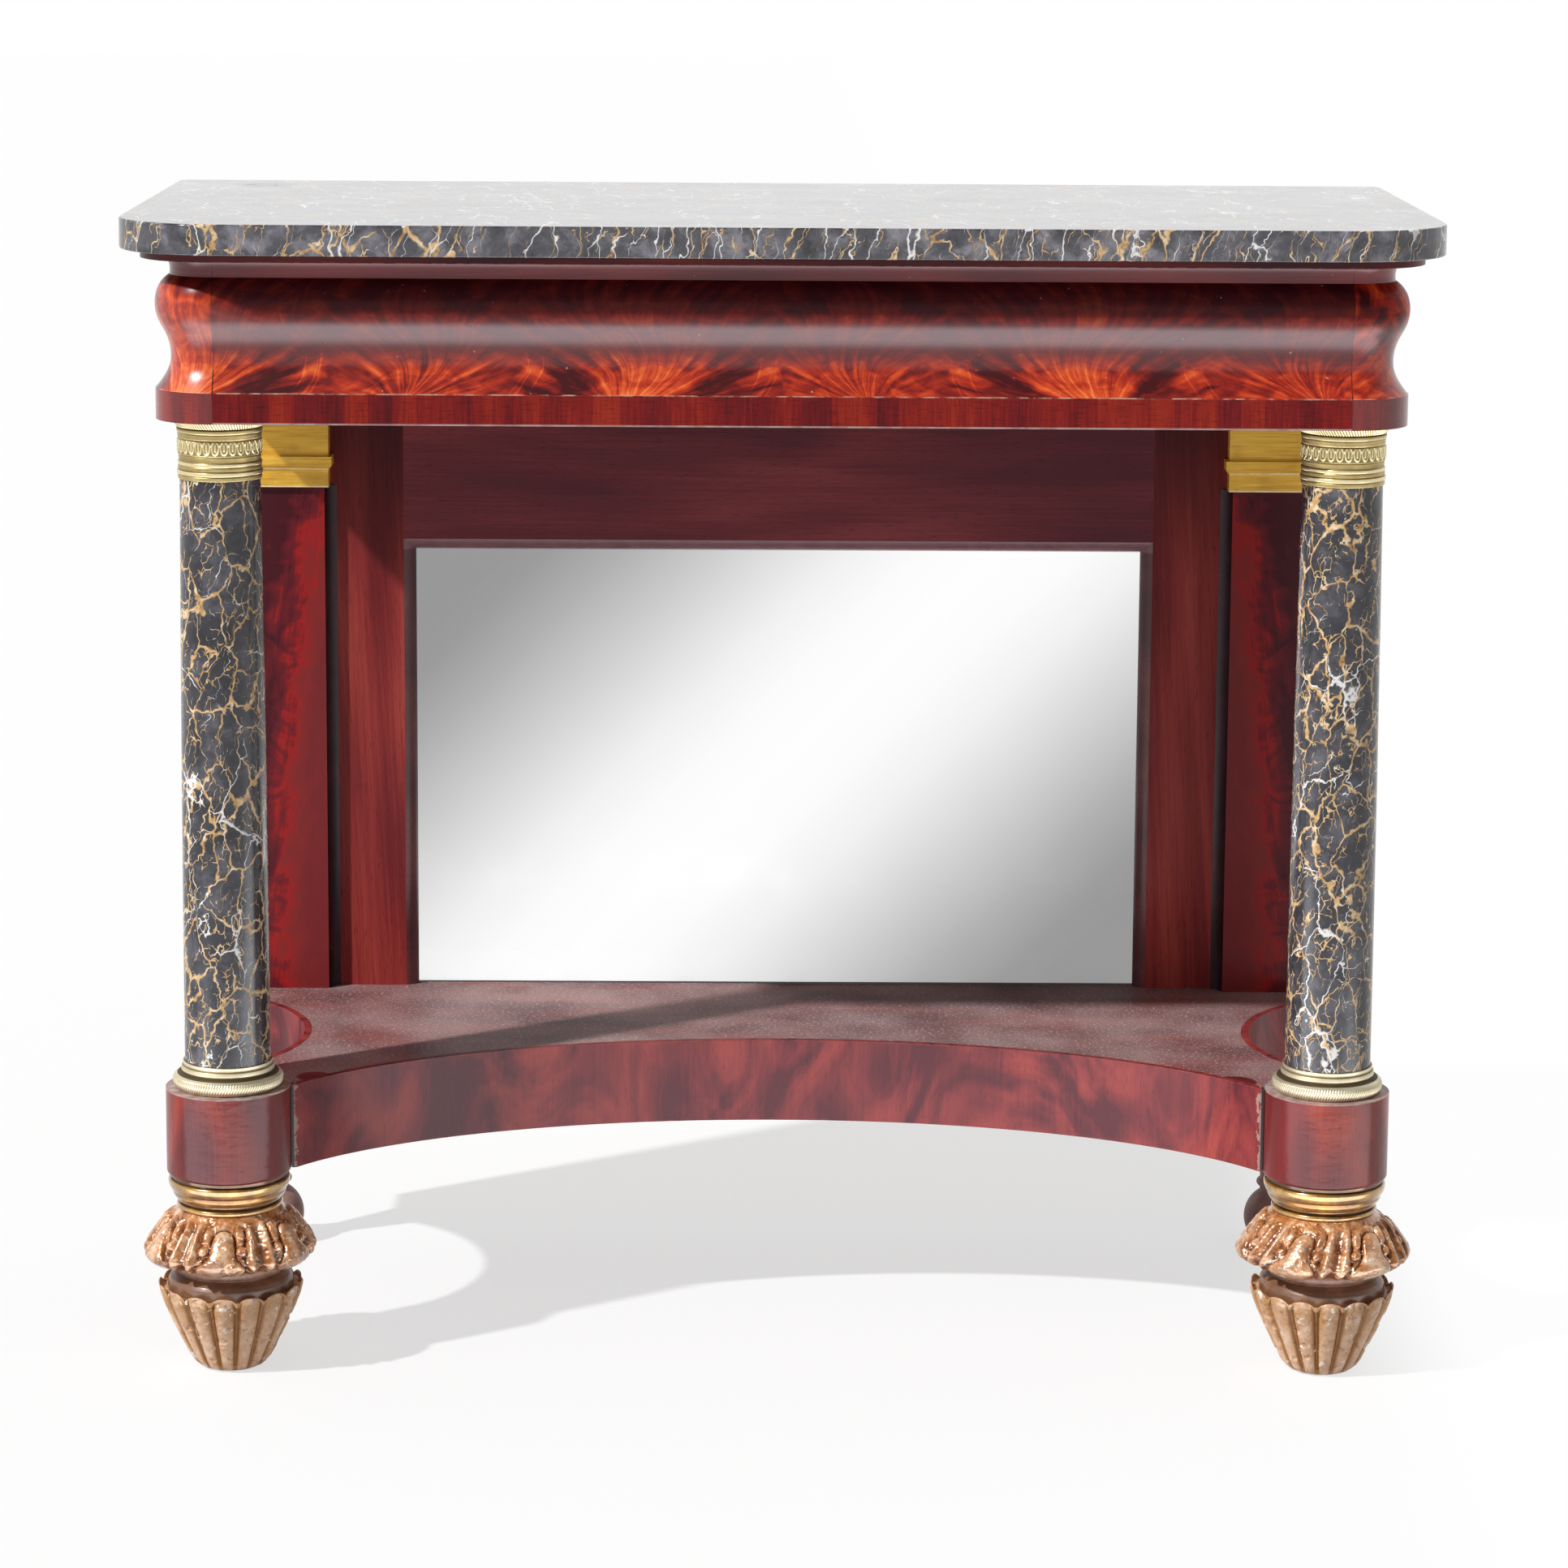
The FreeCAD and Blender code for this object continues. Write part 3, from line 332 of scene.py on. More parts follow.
    # the corner blocks are brighter than the rail
    axes = add("SeparateXYZ", (place,))
    out = add("Math", (axes.outputs["X"],), operation="ABSOLUTE")
    corner = add("Math", (out, cornerMm / 1000), operation="GREATER_THAN")
    front = add("Math", (axes.outputs["Y"], cornerBackMm / 1000), operation="LESS_THAN")
    corner = add("Math", (corner, front), operation="MULTIPLY")
    value = add("Math", (corner, 0.05, value), operation="MULTIPLY_ADD")
    value = add("Math", (value, 0.28), operation="SUBTRACT")
    colour = add("ValToRGB", (value,), stops=[(0.30, "#440b0f"), (0.43, "#781813"), (0.55, "#a82b15"),
                                              (0.68, "#d04a1f"), (0.86, "#f07e3e")])
    # the rail's figure sinks into dark red above the lower slope
    sunk = add("MapRange", (up, *mm(*look["sunkMm"]), 0.0, 0.8), interpolation_type="SMOOTHSTEP")
    risen = add("MapRange", (up, *mm(*look["risenMm"]), 1.0, 0.5), interpolation_type="SMOOTHSTEP")
    sunk = add("Math", (sunk, risen), operation="MULTIPLY")
    plainRail = add("Math", (1.0, corner), operation="SUBTRACT")
    sunk = add("Math", (sunk, plainRail), operation="MULTIPLY")
    colour = add("Mix", (sunk, colour, "#5c1a1e"), data_type="RGBA")
    # painted shade darkens the figure under the slab, where the polish is also dulled, and the hollow neck is
    # straight-grained
    rise = add("MapRange", (axes.outputs["X"], *mm(*look["shadeRiseMm"])))
    aboveEdge = add("Math", (up, rise), operation="SUBTRACT")
    shade = add("MapRange", (aboveEdge, *mm(*look["shadeMm"]), 0.0, 0.75), interpolation_type="SMOOTHSTEP")
    rail = add("Math", (axes.outputs["X"], cornerMm / 1000), operation="LESS_THAN")
    shade = add("Math", (shade, rail), operation="MULTIPLY")
    colour = add("Mix", (shade, colour, "#360d15"), data_type="RGBA")
    film = add("MapRange", (aboveEdge, *mm(*look["dullMm"]), 1.0, 0.12), interpolation_type="SMOOTHSTEP")
    neckLook = dict(figureMm=(160, 160, 20), lineMm=(90, 90, 1.6), warp=0.2, lineShare=0.5)
    neckValue = woodGrain(add, place, neckLook)[0]
    neckColour = add("ValToRGB", (neckValue,), stops=[(0.3, "#641920"), (0.5, "#82272e"), (0.7, "#9c3b3e")])
    neck = add("Math", (up, look["neckMm"] / 1000), operation="GREATER_THAN")
    colour = add("Mix", (neck, colour, neckColour), data_type="RGBA")
    film = add("Math", (neck, 0.8, film), operation="MULTIPLY_ADD")
    # a few specks of dust, drawn coarser than real to show
    specks = add("TexNoise", {"Vector": place, "Scale": 1000 / 4, "Detail": 1.0})
    speckMask = add("MapRange", (specks, 0.78, 0.82, 0.0, 0.5))
    colour = add("Mix", (speckMask, colour, "#e2c3b2"), data_type="RGBA")
    # the corner blocks carry the cross-band on their foot
    bandColour = crossBandColour(add, place)[0]
    band = add("Math", (up, look["bandMm"] / 1000), operation="LESS_THAN")
    colour = add("Mix", (band, colour, bandColour), data_type="RGBA")
    chipped = edgeWearAndPaintedLight(add, place, [("Z", 805.7, 0.3)], 11.0, 0.0)
    colour = add("Mix", (chipped, colour, "#c99c86"), data_type="RGBA")
    seam = edgeWearAndPaintedLight(add, place, [("X", -cornerMm, 0.5), ("X", cornerMm, 0.5), ("Y", cornerBackMm, 0.5)],
                       12.0, 0.2)
    colour = add("Mix", (seam, colour, "#170608"), data_type="RGBA")
    ripple = stretchedNoise(add, place, (160, 160, 1.6), Detail=2.0)
    # the veneer is laid on pine, which is bare on the inner and rear faces
    facing = add("SeparateXYZ", (add("NewGeometry").outputs["Normal"],))
    side = add("Math", (axes.outputs["X"],), operation="SIGN")
    inward = add("Math", (facing.outputs["X"], side), operation="MULTIPLY")
    inward = add("Math", (inward, -0.7), operation="LESS_THAN")
    rear = add("Math", (facing.outputs["Y"], 0.7), operation="GREATER_THAN")
    bare = add("Math", (inward, rear), operation="MAXIMUM")
    core = add("ValToRGB", (ripple,), stops=[(0.3, "#ac8058"), (0.5, "#c69c70"), (0.7, "#dcb68c")])
    colour = add("Mix", (bare, colour, core), data_type="RGBA")
    film = add("Math", (film, bare), operation="SUBTRACT", use_clamp=True)
    bump = add("Bump", {"Strength": 0.15, "Distance": 0.00006, "Height": ripple})
    plug(shader, Base_Color=colour, Coat_Weight=film, Normal=bump, Coat_Normal=bump)
    return finish


def flameVeneer():
    # flame mahogany, book-matched from left to right: a ragged scarlet tongue between brick red and plum
    look = dict(heightMm=(380, 681), outMm=(434, 405), halfMm=26.0, ragMm=24.0, headMm=(625, 678))
    finish, add, shader, place = newFinish("flameMahoganyPolished", Roughness=0.38, Coat_Weight=0.1,
                                           Coat_Roughness=0.18, Coat_IOR=1.52, Specular_IOR_Level=0.1)
    axes = add("SeparateXYZ", (place,))
    out = add("Math", (axes.outputs["X"],), operation="ABSOLUTE")
    leafPlace = add("CombineXYZ", (out, axes.outputs["Z"]))
    rag = stretchedNoise(add, leafPlace, (24, 80, 1000), turn=(0, 0, 0.3), Detail=4.0, Distortion=0.7)
    tongue = add("MapRange", (axes.outputs["Z"], *mm(*look["heightMm"], *look["outMm"])))
    gap = add("Math", (out, tongue), operation="SUBTRACT")
    gap = add("Math", (rag, 2 * look["ragMm"] / 1000, gap), operation="MULTIPLY_ADD")
    gap = add("Math", (gap, look["ragMm"] / 1000), operation="SUBTRACT")
    share = add("MapRange", (gap, *mm(-look["halfMm"], look["halfMm"]), 0.0, 1.0))
    swirls = add("TexNoise", {"Vector": leafPlace, "Scale": 1000 / 30, "Detail": 4.0, "Distortion": 2.0})
    outer = add("MapRange", (share, 0.4, 0.7, 0.6, 0.9))
    swirlShare = add("Math", (swirls, 0.5), operation="SUBTRACT")
    value = add("Math", (swirlShare, outer, share), operation="MULTIPLY_ADD")
    lines = stretchedNoise(add, leafPlace, (2.0, 60, 1000), turn=(0, 0, 0.12), Detail=4.0, Roughness=0.65)
    value = add("Math", (lines, 0.5, value), operation="MULTIPLY_ADD")
    value = add("Math", (value, 0.25), operation="SUBTRACT")
    head = add("MapRange", (axes.outputs["Z"], *mm(*look["headMm"]), 0.0, 0.34))  # plum above the tongue
    value = add("Math", (value, head), operation="ADD")
    colour = add("ValToRGB", (value,), stops=[(0.0, "#7c2a2c"), (0.28, "#8a2c2c"), (0.42, "#942829"),
                                              (0.50, "#a82423"), (0.56, "#8f2225"), (0.66, "#742028"),
                                              (0.84, "#5f1c25"), (1.0, "#4a161f")])
    bump = add("Bump", {"Strength": 0.2, "Distance": 0.0001, "Height": lines})
    plug(shader, Base_Color=colour, Normal=bump)
    return finish


def pineBoard(name, look):
    # sawn and planed pine, never polished: dusty tan with darker growth lines about 8 mm apart
    finish, add, shader, place = newFinish(name, Roughness=0.78, Specular_IOR_Level=0.2)
    ringPlace = add("Mapping", {"Vector": place, "Scale": mm(*look["ringMm"])}, vector_type="TEXTURE")
    rings = add("TexWave", {"Vector": ringPlace, "Scale": 1.0, "Distortion": 16.0, "Detail": 3.0,
                            "Detail Scale": 0.8}, bands_direction=look["across"]).outputs["Fac"]
    lines = stretchedNoise(add, place, look["lineMm"], Detail=4.0, Roughness=0.65)
    value = add("Math", (lines, 0.7, rings), operation="MULTIPLY_ADD")
    value = add("Math", (value, 1.6), operation="DIVIDE")
    colour = add("ValToRGB", (value,),
                 stops=[(0.15, "#dcb68c"), (0.45, "#d2aa7e"), (0.68, "#c69c70"), (0.88, "#ac8058")])
    stain = add("TexNoise", {"Vector": place, "Scale": 1000 / 150, "Detail": 3.0})
    stainMask = add("MapRange", (stain, 0.45, 0.7, 0.0, 0.4))
    colour = add("Mix", (stainMask, colour, "#8d6a44"), data_type="RGBA")
    # the outer side, which shows beside the pilaster, is stained like the mahogany
    if "stainedFromMm" in look:
        axes = add("SeparateXYZ", (place,))
        out = add("Math", (axes.outputs["X"],), operation="ABSOLUTE")
        outer = add("Math", (out, look["stainedFromMm"] / 1000), operation="GREATER_THAN")
        outer = add("Math", (outer, 0.9), operation="MULTIPLY")
        red = add("ValToRGB", (lines,), stops=[(0.3, "#3c1416"), (0.6, "#5c2022"), (0.8, "#6e2a28")])
        colour = add("Mix", (outer, colour, red), data_type="RGBA")
    bump = add("Bump", {"Strength": 0.5, "Distance": 0.0004, "Height": lines})
    plug(shader, Base_Color=colour, Normal=bump)
    return finish


def veinedMarble(name, look):
    # polished black and gold marble: charcoal, torn nets of ochre veins, white threads and a wet shine
    finish, add, shader, place = newFinish(name, IOR=1.52, Specular_IOR_Level=0.5)
    bent = place
    for sizeMm, reachMm in ((look["driftMm"], look["bendMm"]), (6.0, 3.4)):  # slow bends, then torn edges
        drift = add("TexNoise", {"Vector": place, "Scale": 1000 / sizeMm, "Detail": 3.0, "Roughness": 0.6})
        shift = add("VectorMath", (drift.outputs["Color"], (0.5, 0.5, 0.5)), operation="SUBTRACT")
        bent = add("VectorMath", (shift, (reachMm / 1000,) * 3, bent), operation="MULTIPLY_ADD")
    # three nets: strong ochre veins, finer lace in patches, and sparse white threads
    masks = []
    for cellMm, widest, fromShare, offset in look["nets"]:
        cells = add("Mapping", {"Vector": bent, "Scale": mm(*cellMm), "Rotation": look["lean"],
                                "Location": mm(offset, offset / 2, offset / 3)}, vector_type="TEXTURE")
        net = add("TexVoronoi", {"Vector": cells, "Scale": 1.0}, feature="DISTANCE_TO_EDGE")
        patch = add("TexNoise", {"Vector": cells, "Scale": 0.8, "Detail": 3.0, "Roughness": 0.65})
        width = add("MapRange", (patch, fromShare, fromShare + 0.26, 0.0, widest))
        inner = add("Math", (width, 0.35), operation="MULTIPLY")
        masks.append(add("MapRange", (net, inner, width, 1.0, 0.0)))
    gold = add("Math", (masks[0], masks[1]), operation="MAXIMUM")
    cloud = add("TexNoise", {"Vector": bent, "Scale": 1000 / 24, "Detail": 5.0, "Roughness": 0.65})
    colour = add("ValToRGB", (cloud,), stops=look["ground"])
    tone = add("TexNoise", {"Vector": place, "Scale": 1000 / 8, "Detail": 3.0})
    veinColour = add("ValToRGB", (tone,),
                     stops=[(0.3, "#a67c46"), (0.46, "#d4aa70"), (0.6, "#eac898"), (0.76, "#fbf0dc")])
    colour = add("Mix", (gold, colour, veinColour), data_type="RGBA")
    colour = add("Mix", (masks[2], colour, "#f0eeec"), data_type="RGBA")
    # the upper face: grey haze in streaks, partly dulling by use and partly a painted sheen that lightens the
    # top, then a cup's ring and a dark stain
    if "ringMm" in look:
        ringAt, ringRadius, ringHalf = look["ringMm"]
        stainAt, stainFrom, stainTo = look["stainMm"]
        facing = add("SeparateXYZ", (add("NewGeometry").outputs["Normal"],)).outputs["Z"]
        upper = add("MapRange", (facing, 0.90, 0.98, 0.0, 1.0))
        streaks = stretchedNoise(add, bent, (110, 60, 60), Detail=4.0, Roughness=0.6)
        hazeAndSheen = add("ValToRGB", (streaks,), stops=[(0.3, "#7e7f86"), (0.5, "#9a9ba2"), (0.7, "#b4b5ba")])
        share = add("Math", (upper, 0.5), operation="MULTIPLY")
        colour = add("Mix", (share, colour, hazeAndSheen), data_type="RGBA")
        veins = add("Math", (gold, upper), operation="MULTIPLY")
        veins = add("Math", (veins, 0.5), operation="MULTIPLY")
        colour = add("Mix", (veins, colour, "#cbb697"), data_type="RGBA")
        threads = add("Math", (masks[2], upper), operation="MULTIPLY")
        threads = add("Math", (threads, 0.7), operation="MULTIPLY")
        colour = add("Mix", (threads, colour, "#efefef"), data_type="RGBA")
        ring = add("VectorMath", (place, mm(*ringAt)), operation="DISTANCE").outputs["Value"]
        ringMask = add("Math", (ring, *mm(ringRadius, ringHalf)), operation="COMPARE")
        ringMask = add("Math", (ringMask, 0.22), operation="MULTIPLY")
        colour = add("Mix", (ringMask, colour, "#55565c"), data_type="RGBA")
        stain = add("VectorMath", (bent, mm(*stainAt)), operation="DISTANCE").outputs["Value"]
        stainMask = add("MapRange", (stain, *mm(stainFrom, stainTo), 0.75, 0.0))
        colour = add("Mix", (stainMask, colour, "#2f3035"), data_type="RGBA")
    rough = add("MapRange", (gold, 0.0, 1.0, look["rough"], look["rough"] + 0.12))
    bump = add("Bump", {"Strength": 0.1, "Distance": 0.00008, "Height": gold})
    plug(shader, Base_Color=colour, Roughness=rough, Normal=bump)
    return finish


marbleLooks = {
    "slab": dict(driftMm=30, bendMm=26, lean=(0.0, 0.25, 0.1), rough=0.1,
                 ringMm=((-263, -126, 940), 41, 3), stainMm=((-445, 185, 940), 16, 34),
                 nets=[((24, 40, 90), 0.052, 0.42, 0), ((9, 16, 34), 0.07, 0.50, 37),
                       ((22, 50, 120), 0.042, 0.46, 91)],
                 ground=[(0.3, "#2a292f"), (0.5, "#54535a"), (0.7, "#908e96")]),
    "column": dict(driftMm=26, bendMm=20, lean=(0.1, 0.2, 0.0), rough=0.2,
                   nets=[((22, 22, 42), 0.056, 0.34, 0), ((8, 8, 15), 0.085, 0.46, 37),
                         ((30, 30, 60), 0.04, 0.48, 91)],
                   ground=[(0.3, "#1d1d22"), (0.5, "#36363d"), (0.7, "#626169")]),
}


def castBrass(name, stops, dulled=0.0):
    # cast and turned brass under old lacquer: pale straw on the rubs, brown in the grooves
    finish, add, shader, place = newFinish(name, Metallic=0.78)
    hollow = add("Attribute", attribute_name="hollow").outputs["Fac"]
    tarnish = add("TexNoise", {"Vector": place, "Scale": 1000 / 12, "Detail": 4.0, "Roughness": 0.65})
    dirt = add("Math", (tarnish, 0.4, hollow), operation="MULTIPLY_ADD")
    colour = add("ValToRGB", (dirt,), stops=stops)
    turning = stretchedNoise(add, place, (40, 40, 0.5), Detail=2.0)
    rough = add("MapRange", (dirt, 0.2, 1.0, 0.28 + dulled, 0.5 + dulled))
    bump = add("Bump", {"Strength": 0.2, "Distance": 0.00006, "Height": turning})
    plug(shader, Base_Color=colour, Roughness=rough, Normal=bump)
    return finish


def gildedWood():
    # bronze-powder gilding brushed on stepped wood: flat ochre gold with brush lines, pale where rubbed
    finish, add, shader, place = newFinish("bronzePowderGilding", Metallic=0.25, Roughness=0.48,
                                           Specular_IOR_Level=0.4)
    strokes = stretchedNoise(add, place, (45, 45, 1.6), Detail=3.0, Roughness=0.6)
    colour = add("ValToRGB", (strokes,),
                 stops=[(0.3, "#cc9628"), (0.5, "#e4b038"), (0.66, "#f0c048"), (0.85, "#f8d264")])
    stain = add("TexNoise", {"Vector": place, "Scale": 1000 / 25, "Detail": 3.0})
    stainMask = add("MapRange", (stain, 0.5, 0.72, 0.0, 0.35))
    colour = add("Mix", (stainMask, colour, "#a3701f"), data_type="RGBA")
    mask = edgeWearAndPaintedLight(add, place, [("Z", 681.6, 0.9), ("Z", 697.2, 0.8)], 9.0, 0.5)
    colour = add("Mix", (mask, colour, "#ecdfb6"), data_type="RGBA")
    bump = add("Bump", {"Strength": 0.4, "Distance": 0.0002, "Height": strokes})
    plug(shader, Base_Color=colour, Normal=bump)
    return finish


def silveredGlass():
    # plate glass silvered at the back: a clear reflection, with a painted reflection gradient that greys it
    # towards two corners
    look = dict(halfWidthMm=324.5, lowMm=235.0, highMm=632.0, bendFromMm=330.0, bendPerM=0.66)
    finish, add, shader, place = newFinish("silveredPlateGlass", Metallic=1.0)
    axes = add("SeparateXYZ", (place,))
    # painted reflection: grey towards the upper left and lower right corners, white along the other diagonal
    right = add("MapRange", (axes.outputs["X"], *mm(-look["halfWidthMm"], look["halfWidthMm"]), -0.5, 0.5))
    up = add("MapRange", (axes.outputs["Z"], *mm(look["lowMm"], look["highMm"]), -0.5, 0.5))
    across = add("Math", (up, -0.62, right), operation="MULTIPLY_ADD")
    across = add("Math", (across,), operation="ABSOLUTE")
    cloud = add("TexNoise", {"Vector": place, "Scale": 1000 / 140, "Detail": 2.0})
    value = add("Math", (cloud, 0.03, across), operation="MULTIPLY_ADD")
    colour = add("ValToRGB", (value,), stops=[(0.02, "#ffffff"), (0.12, "#fcfcfc"), (0.22, "#f2f2f2"),
                                              (0.32, "#dfdfdf"), (0.42, "#c9c9c9"), (0.52, "#b1b1b1"),
                                              (0.62, "#9d9d9d"), (0.68, "#999999")])
    shadow = edgeWearAndPaintedLight(add, place, [("Z", look["lowMm"], 1.5)], 30.0, 0.9)
    colour = add("Mix", (shadow, colour, "#0d0909"), data_type="RGBA")
    # a bend at the plate's foot carries the reflection up over the shelf
    below = add("Math", (look["bendFromMm"] / 1000, axes.outputs["Z"]), operation="SUBTRACT")
    below = add("Math", (below, 0.0), operation="MAXIMUM")
    bend = add("Math", (below, 2.0), operation="POWER")
    bend = add("Math", (bend, look["bendPerM"]), operation="MULTIPLY")
    bump = add("Bump", {"Strength": 1.0, "Distance": 1.0, "Height": bend})
    fine = add("TexNoise", {"Vector": place, "Scale": 1000 / 60, "Detail": 3.0})
    rough = add("MapRange", (fine, 0.3, 0.7, 0.03, 0.08))
    plug(shader, Base_Color=colour, Roughness=rough, Normal=bump)
    return finish


def darkPaint(name, look):
    # brown paint over wood, dull with hand wear: clouded, and bare wood where it is rubbed
    finish, add, shader, place = newFinish(name, Roughness=look["rough"], Specular_IOR_Level=0.25)
    cloud = add("TexNoise", {"Vector": place, "Scale": 1000 / look["cloudMm"], "Detail": 5.0,
                             "Roughness": 0.65})
    colour = add("ValToRGB", (cloud,), stops=look["stops"])
    scuff = add("TexNoise", {"Vector": place, "Scale": 1000 / look["scuffMm"], "Detail": 4.0,
                             "Roughness": 0.7})
    mask = add("MapRange", (scuff, 0.62, 0.70, 0.0, look["scuffShare"]))
    colour = add("Mix", (mask, colour, look["bare"]), data_type="RGBA")
    bump = add("Bump", {"Strength": 0.3, "Distance": 0.0002, "Height": cloud})
    plug(shader, Base_Color=colour, Normal=bump)
    return finish


def footGilding(name, look):
    # water gilding over bole and gesso, worn in handling: gold-brown, dark in the cuts, pale at the chips
    finish, add, shader, place = newFinish(name, Metallic=look["metal"], Roughness=look["rough"],
                                           Coat_Weight=look["film"], Coat_Roughness=0.15, Coat_IOR=1.5)
    hollow = add("Attribute", attribute_name="hollow").outputs["Fac"]
    cloud = add("TexNoise", {"Vector": place, "Scale": 1000 / look["cloudMm"], "Detail": 5.0,
                             "Roughness": 0.65})
    colour = add("ValToRGB", (cloud,), stops=look["stops"])
    if "tip" in look:  # golden brown towards the tips
        fromMm, toMm, tone, most = look["tip"]
        height = add("SeparateXYZ", (place,)).outputs["Z"]
        tip = add("MapRange", (height, fromMm / 1000, toMm / 1000, 0.1, most))
        worn = add("MapRange", (cloud, 0.48, 0.64, 1.0, 0.15))
        tip = add("Math", (tip, worn), operation="MULTIPLY")
        colour = add("Mix", (tip, colour, tone), data_type="RGBA")
    if "flank" in look:  # golden brown along the flanks of the petals too
        side = add("MapRange", (hollow, 0.16, 0.42, 0.0, 0.8))
        colour = add("Mix", (side, colour, look["flank"]), data_type="RGBA")
    dark = add("MapRange", (hollow, 0.45, 0.95, 0.0, look["cutShare"]))
    colour = add("Mix", (dark, colour, look["cut"]), data_type="RGBA")
    pale = add("MapRange", (hollow, 0.02, 0.25, look["rubShare"], 0.0))
    rubNoise = add("TexNoise", {"Vector": place, "Scale": 1000 / 9, "Detail": 3.0})
    pale = add("Math", (pale, rubNoise), operation="MULTIPLY")
    colour = add("Mix", (pale, colour, look["rub"]), data_type="RGBA")
    dirt = add("TexNoise", {"Vector": place, "Scale": 1000 / 6, "Detail": 4.0, "Roughness": 0.7})
    dirtMask = add("MapRange", (dirt, 0.57, 0.66, 0.0, look["dirtShare"]))
    colour = add("Mix", (dirtMask, colour, "#7c4c26"), data_type="RGBA")
    chips = add("TexNoise", {"Vector": place, "Scale": 1000 / look["chipMm"], "Detail": 4.0,
                             "Roughness": 0.6})
    chipMask = add("MapRange", (chips, look["chipFrom"], look["chipFrom"] + 0.03, 0.0, 1.0))
    colour = add("Mix", (chipMask, colour, "#f1e7da"), data_type="RGBA")
    bump = add("Bump", {"Strength": 0.4, "Distance": 0.0004, "Height": cloud})
    plug(shader, Base_Color=colour, Normal=bump)
    return finish


goldStops = [(0.34, "#743e1c"), (0.45, "#ae6a32"), (0.54, "#cc8c56"), (0.66, "#ebc4a0")]
amberStops = [(0.3, "#6a3f10"), (0.48, "#97651a"), (0.62, "#b67f26"), (0.8, "#d8ac4e")]
tanStops = [(0.3, "#c48c5e"), (0.46, "#e4b28a"), (0.6, "#f2c8a6"), (0.78, "#fae0ca")]

footLooks = {
    "ring": dict(metal=0.5, rough=0.24, film=0.8, cloudMm=16, stops=amberStops, cut="#3a1d0c", cutShare=0.85,
                 rub="#f0dca0", rubShare=0.5, chipMm=10, chipFrom=0.74, dirtShare=0.4),
    "bell": dict(metal=0.2, rough=0.28, film=0.7, cloudMm=11, stops=goldStops, cut="#4a2817", cutShare=0.85,
                 rub="#f4dcc0", rubShare=0.6, chipMm=7, chipFrom=0.63, dirtShare=0.55),
    "cup": dict(metal=0.0, rough=0.5, film=0.15, cloudMm=14, stops=tanStops, cut="#855a34", cutShare=0.8,
                rub="#efe0d4", rubShare=0.5, chipMm=11, chipFrom=0.63, dirtShare=0.6,
                tip=(40, 60, "#bd8544", 1.0), flank="#c0894a"),
    "waist": dict(metal=0.0, rough=0.42, film=0.2, cloudMm=18, cut="#3c2118", cutShare=0.7, rub="#c4957c",
                  rubShare=1.6, stops=[(0.3, "#64432f"), (0.5, "#785239"), (0.7, "#8a6749")], chipMm=9,
                  chipFrom=0.76, dirtShare=0.4),
}

finishes = {
    "marble_top": veinedMarble("blackGoldMarblePolishedSlab", marbleLooks["slab"]),
    "marble_column": veinedMarble("blackGoldMarblePolishedColumn", marbleLooks["column"]),
    "brass": castBrass("turnedBrassLacquered",
                       [(0.12, "#f0e5c0"), (0.34, "#dccb98"), (0.6, "#b29c66"), (1.0, "#54421f")]),
    "mahogany_frieze": friezeVeneer(),
    "mahogany_crossband": crossBandVeneer(),
    "mahogany_fillet": polishedWood("mahoganyEdgePolished", woodLooks["filletBoard"]),
    "mahogany_flame": flameVeneer(),
    "mahogany_stile": polishedWood("straightMahoganyPolished", woodLooks["backStile"]),
    "mahogany_rail": polishedWood("darkMahoganyRubbed", woodLooks["topRail"]),
    "mahogany_shelf": polishedWood("dustyMahoganyPolished", woodLooks["shelfBoard"]),
    "mahogany_base": polishedWood("mottledMahoganyPolished", woodLooks["baseRail"]),
    "mahogany_drum": polishedWood("turnedMahoganyPolished", woodLooks["plinthDrum"]),
    "mahogany_moulding": polishedWood("mouldedMahoganyPolished", woodLooks["mirrorMoulding"]),
    "dark_cove": darkPaint("ebonisedCovePaint", dict(
        rough=0.4, cloudMm=20, scuffMm=6, scuffShare=0.5, bare="#6b4a34",
        stops=[(0.3, "#1d0a10"), (0.5, "#2c121a"), (0.7, "#3e1a24")])),
    "gilt_capital": gildedWood(),
    "gilt_foot": footGilding("wornWaterGilding", footLooks["bell"]),
    "dark_foot": darkPaint("brownFootPaintRubbed", dict(
        rough=0.5, cloudMm=22, scuffMm=24, scuffShare=0.75, bare="#a98b78",
        stops=[(0.3, "#84645e"), (0.5, "#a6827a"), (0.7, "#bf9f94")])),
    "mirror_glass": silveredGlass(),
    "pine": pineBoard("sawnPineAged", dict(ringMm=(460, 70, 26), across="Z", lineMm=(180, 3, 1.8))),
    "pineUpright": pineBoard("sawnPineUpright", dict(ringMm=(26, 70, 460), across="X", lineMm=(1.8, 3, 180),
                                                     stainedFromMm=493.5)),
}

for nodeName, node in nodes.items():
    for materialSlot in node.material_slots:
        slotName = materialSlot.material.name.split(".")[0]
        materialSlot.material = finishes["pineUpright" if nodeName.startswith("rear_post") else slotName]
print("finishes on the frame:", len(finishes))


def softOutline(corners, stepMm, softMm):
    # (radius, height) corners in mm sampled evenly, with their corners rounded over softMm
    points = np.array(corners, float)
    run = np.concatenate([[0], np.cumsum(np.hypot(*np.diff(points, axis=0).T))])
    places = np.linspace(0, run[-1], max(8, int(run[-1] / stepMm)))
    outline = np.stack([np.interp(places, run, points[:, i]) for i in (0, 1)], axis=1)
    reach = max(1, int(softMm / stepMm))
    weights = np.ones(2 * reach + 1) / (2 * reach + 1)
    padded = np.pad(outline, ((reach, reach), (0, 0)), mode="edge")
    return np.stack([np.convolve(padded[:, i], weights, "valid") for i in (0, 1)], axis=1)


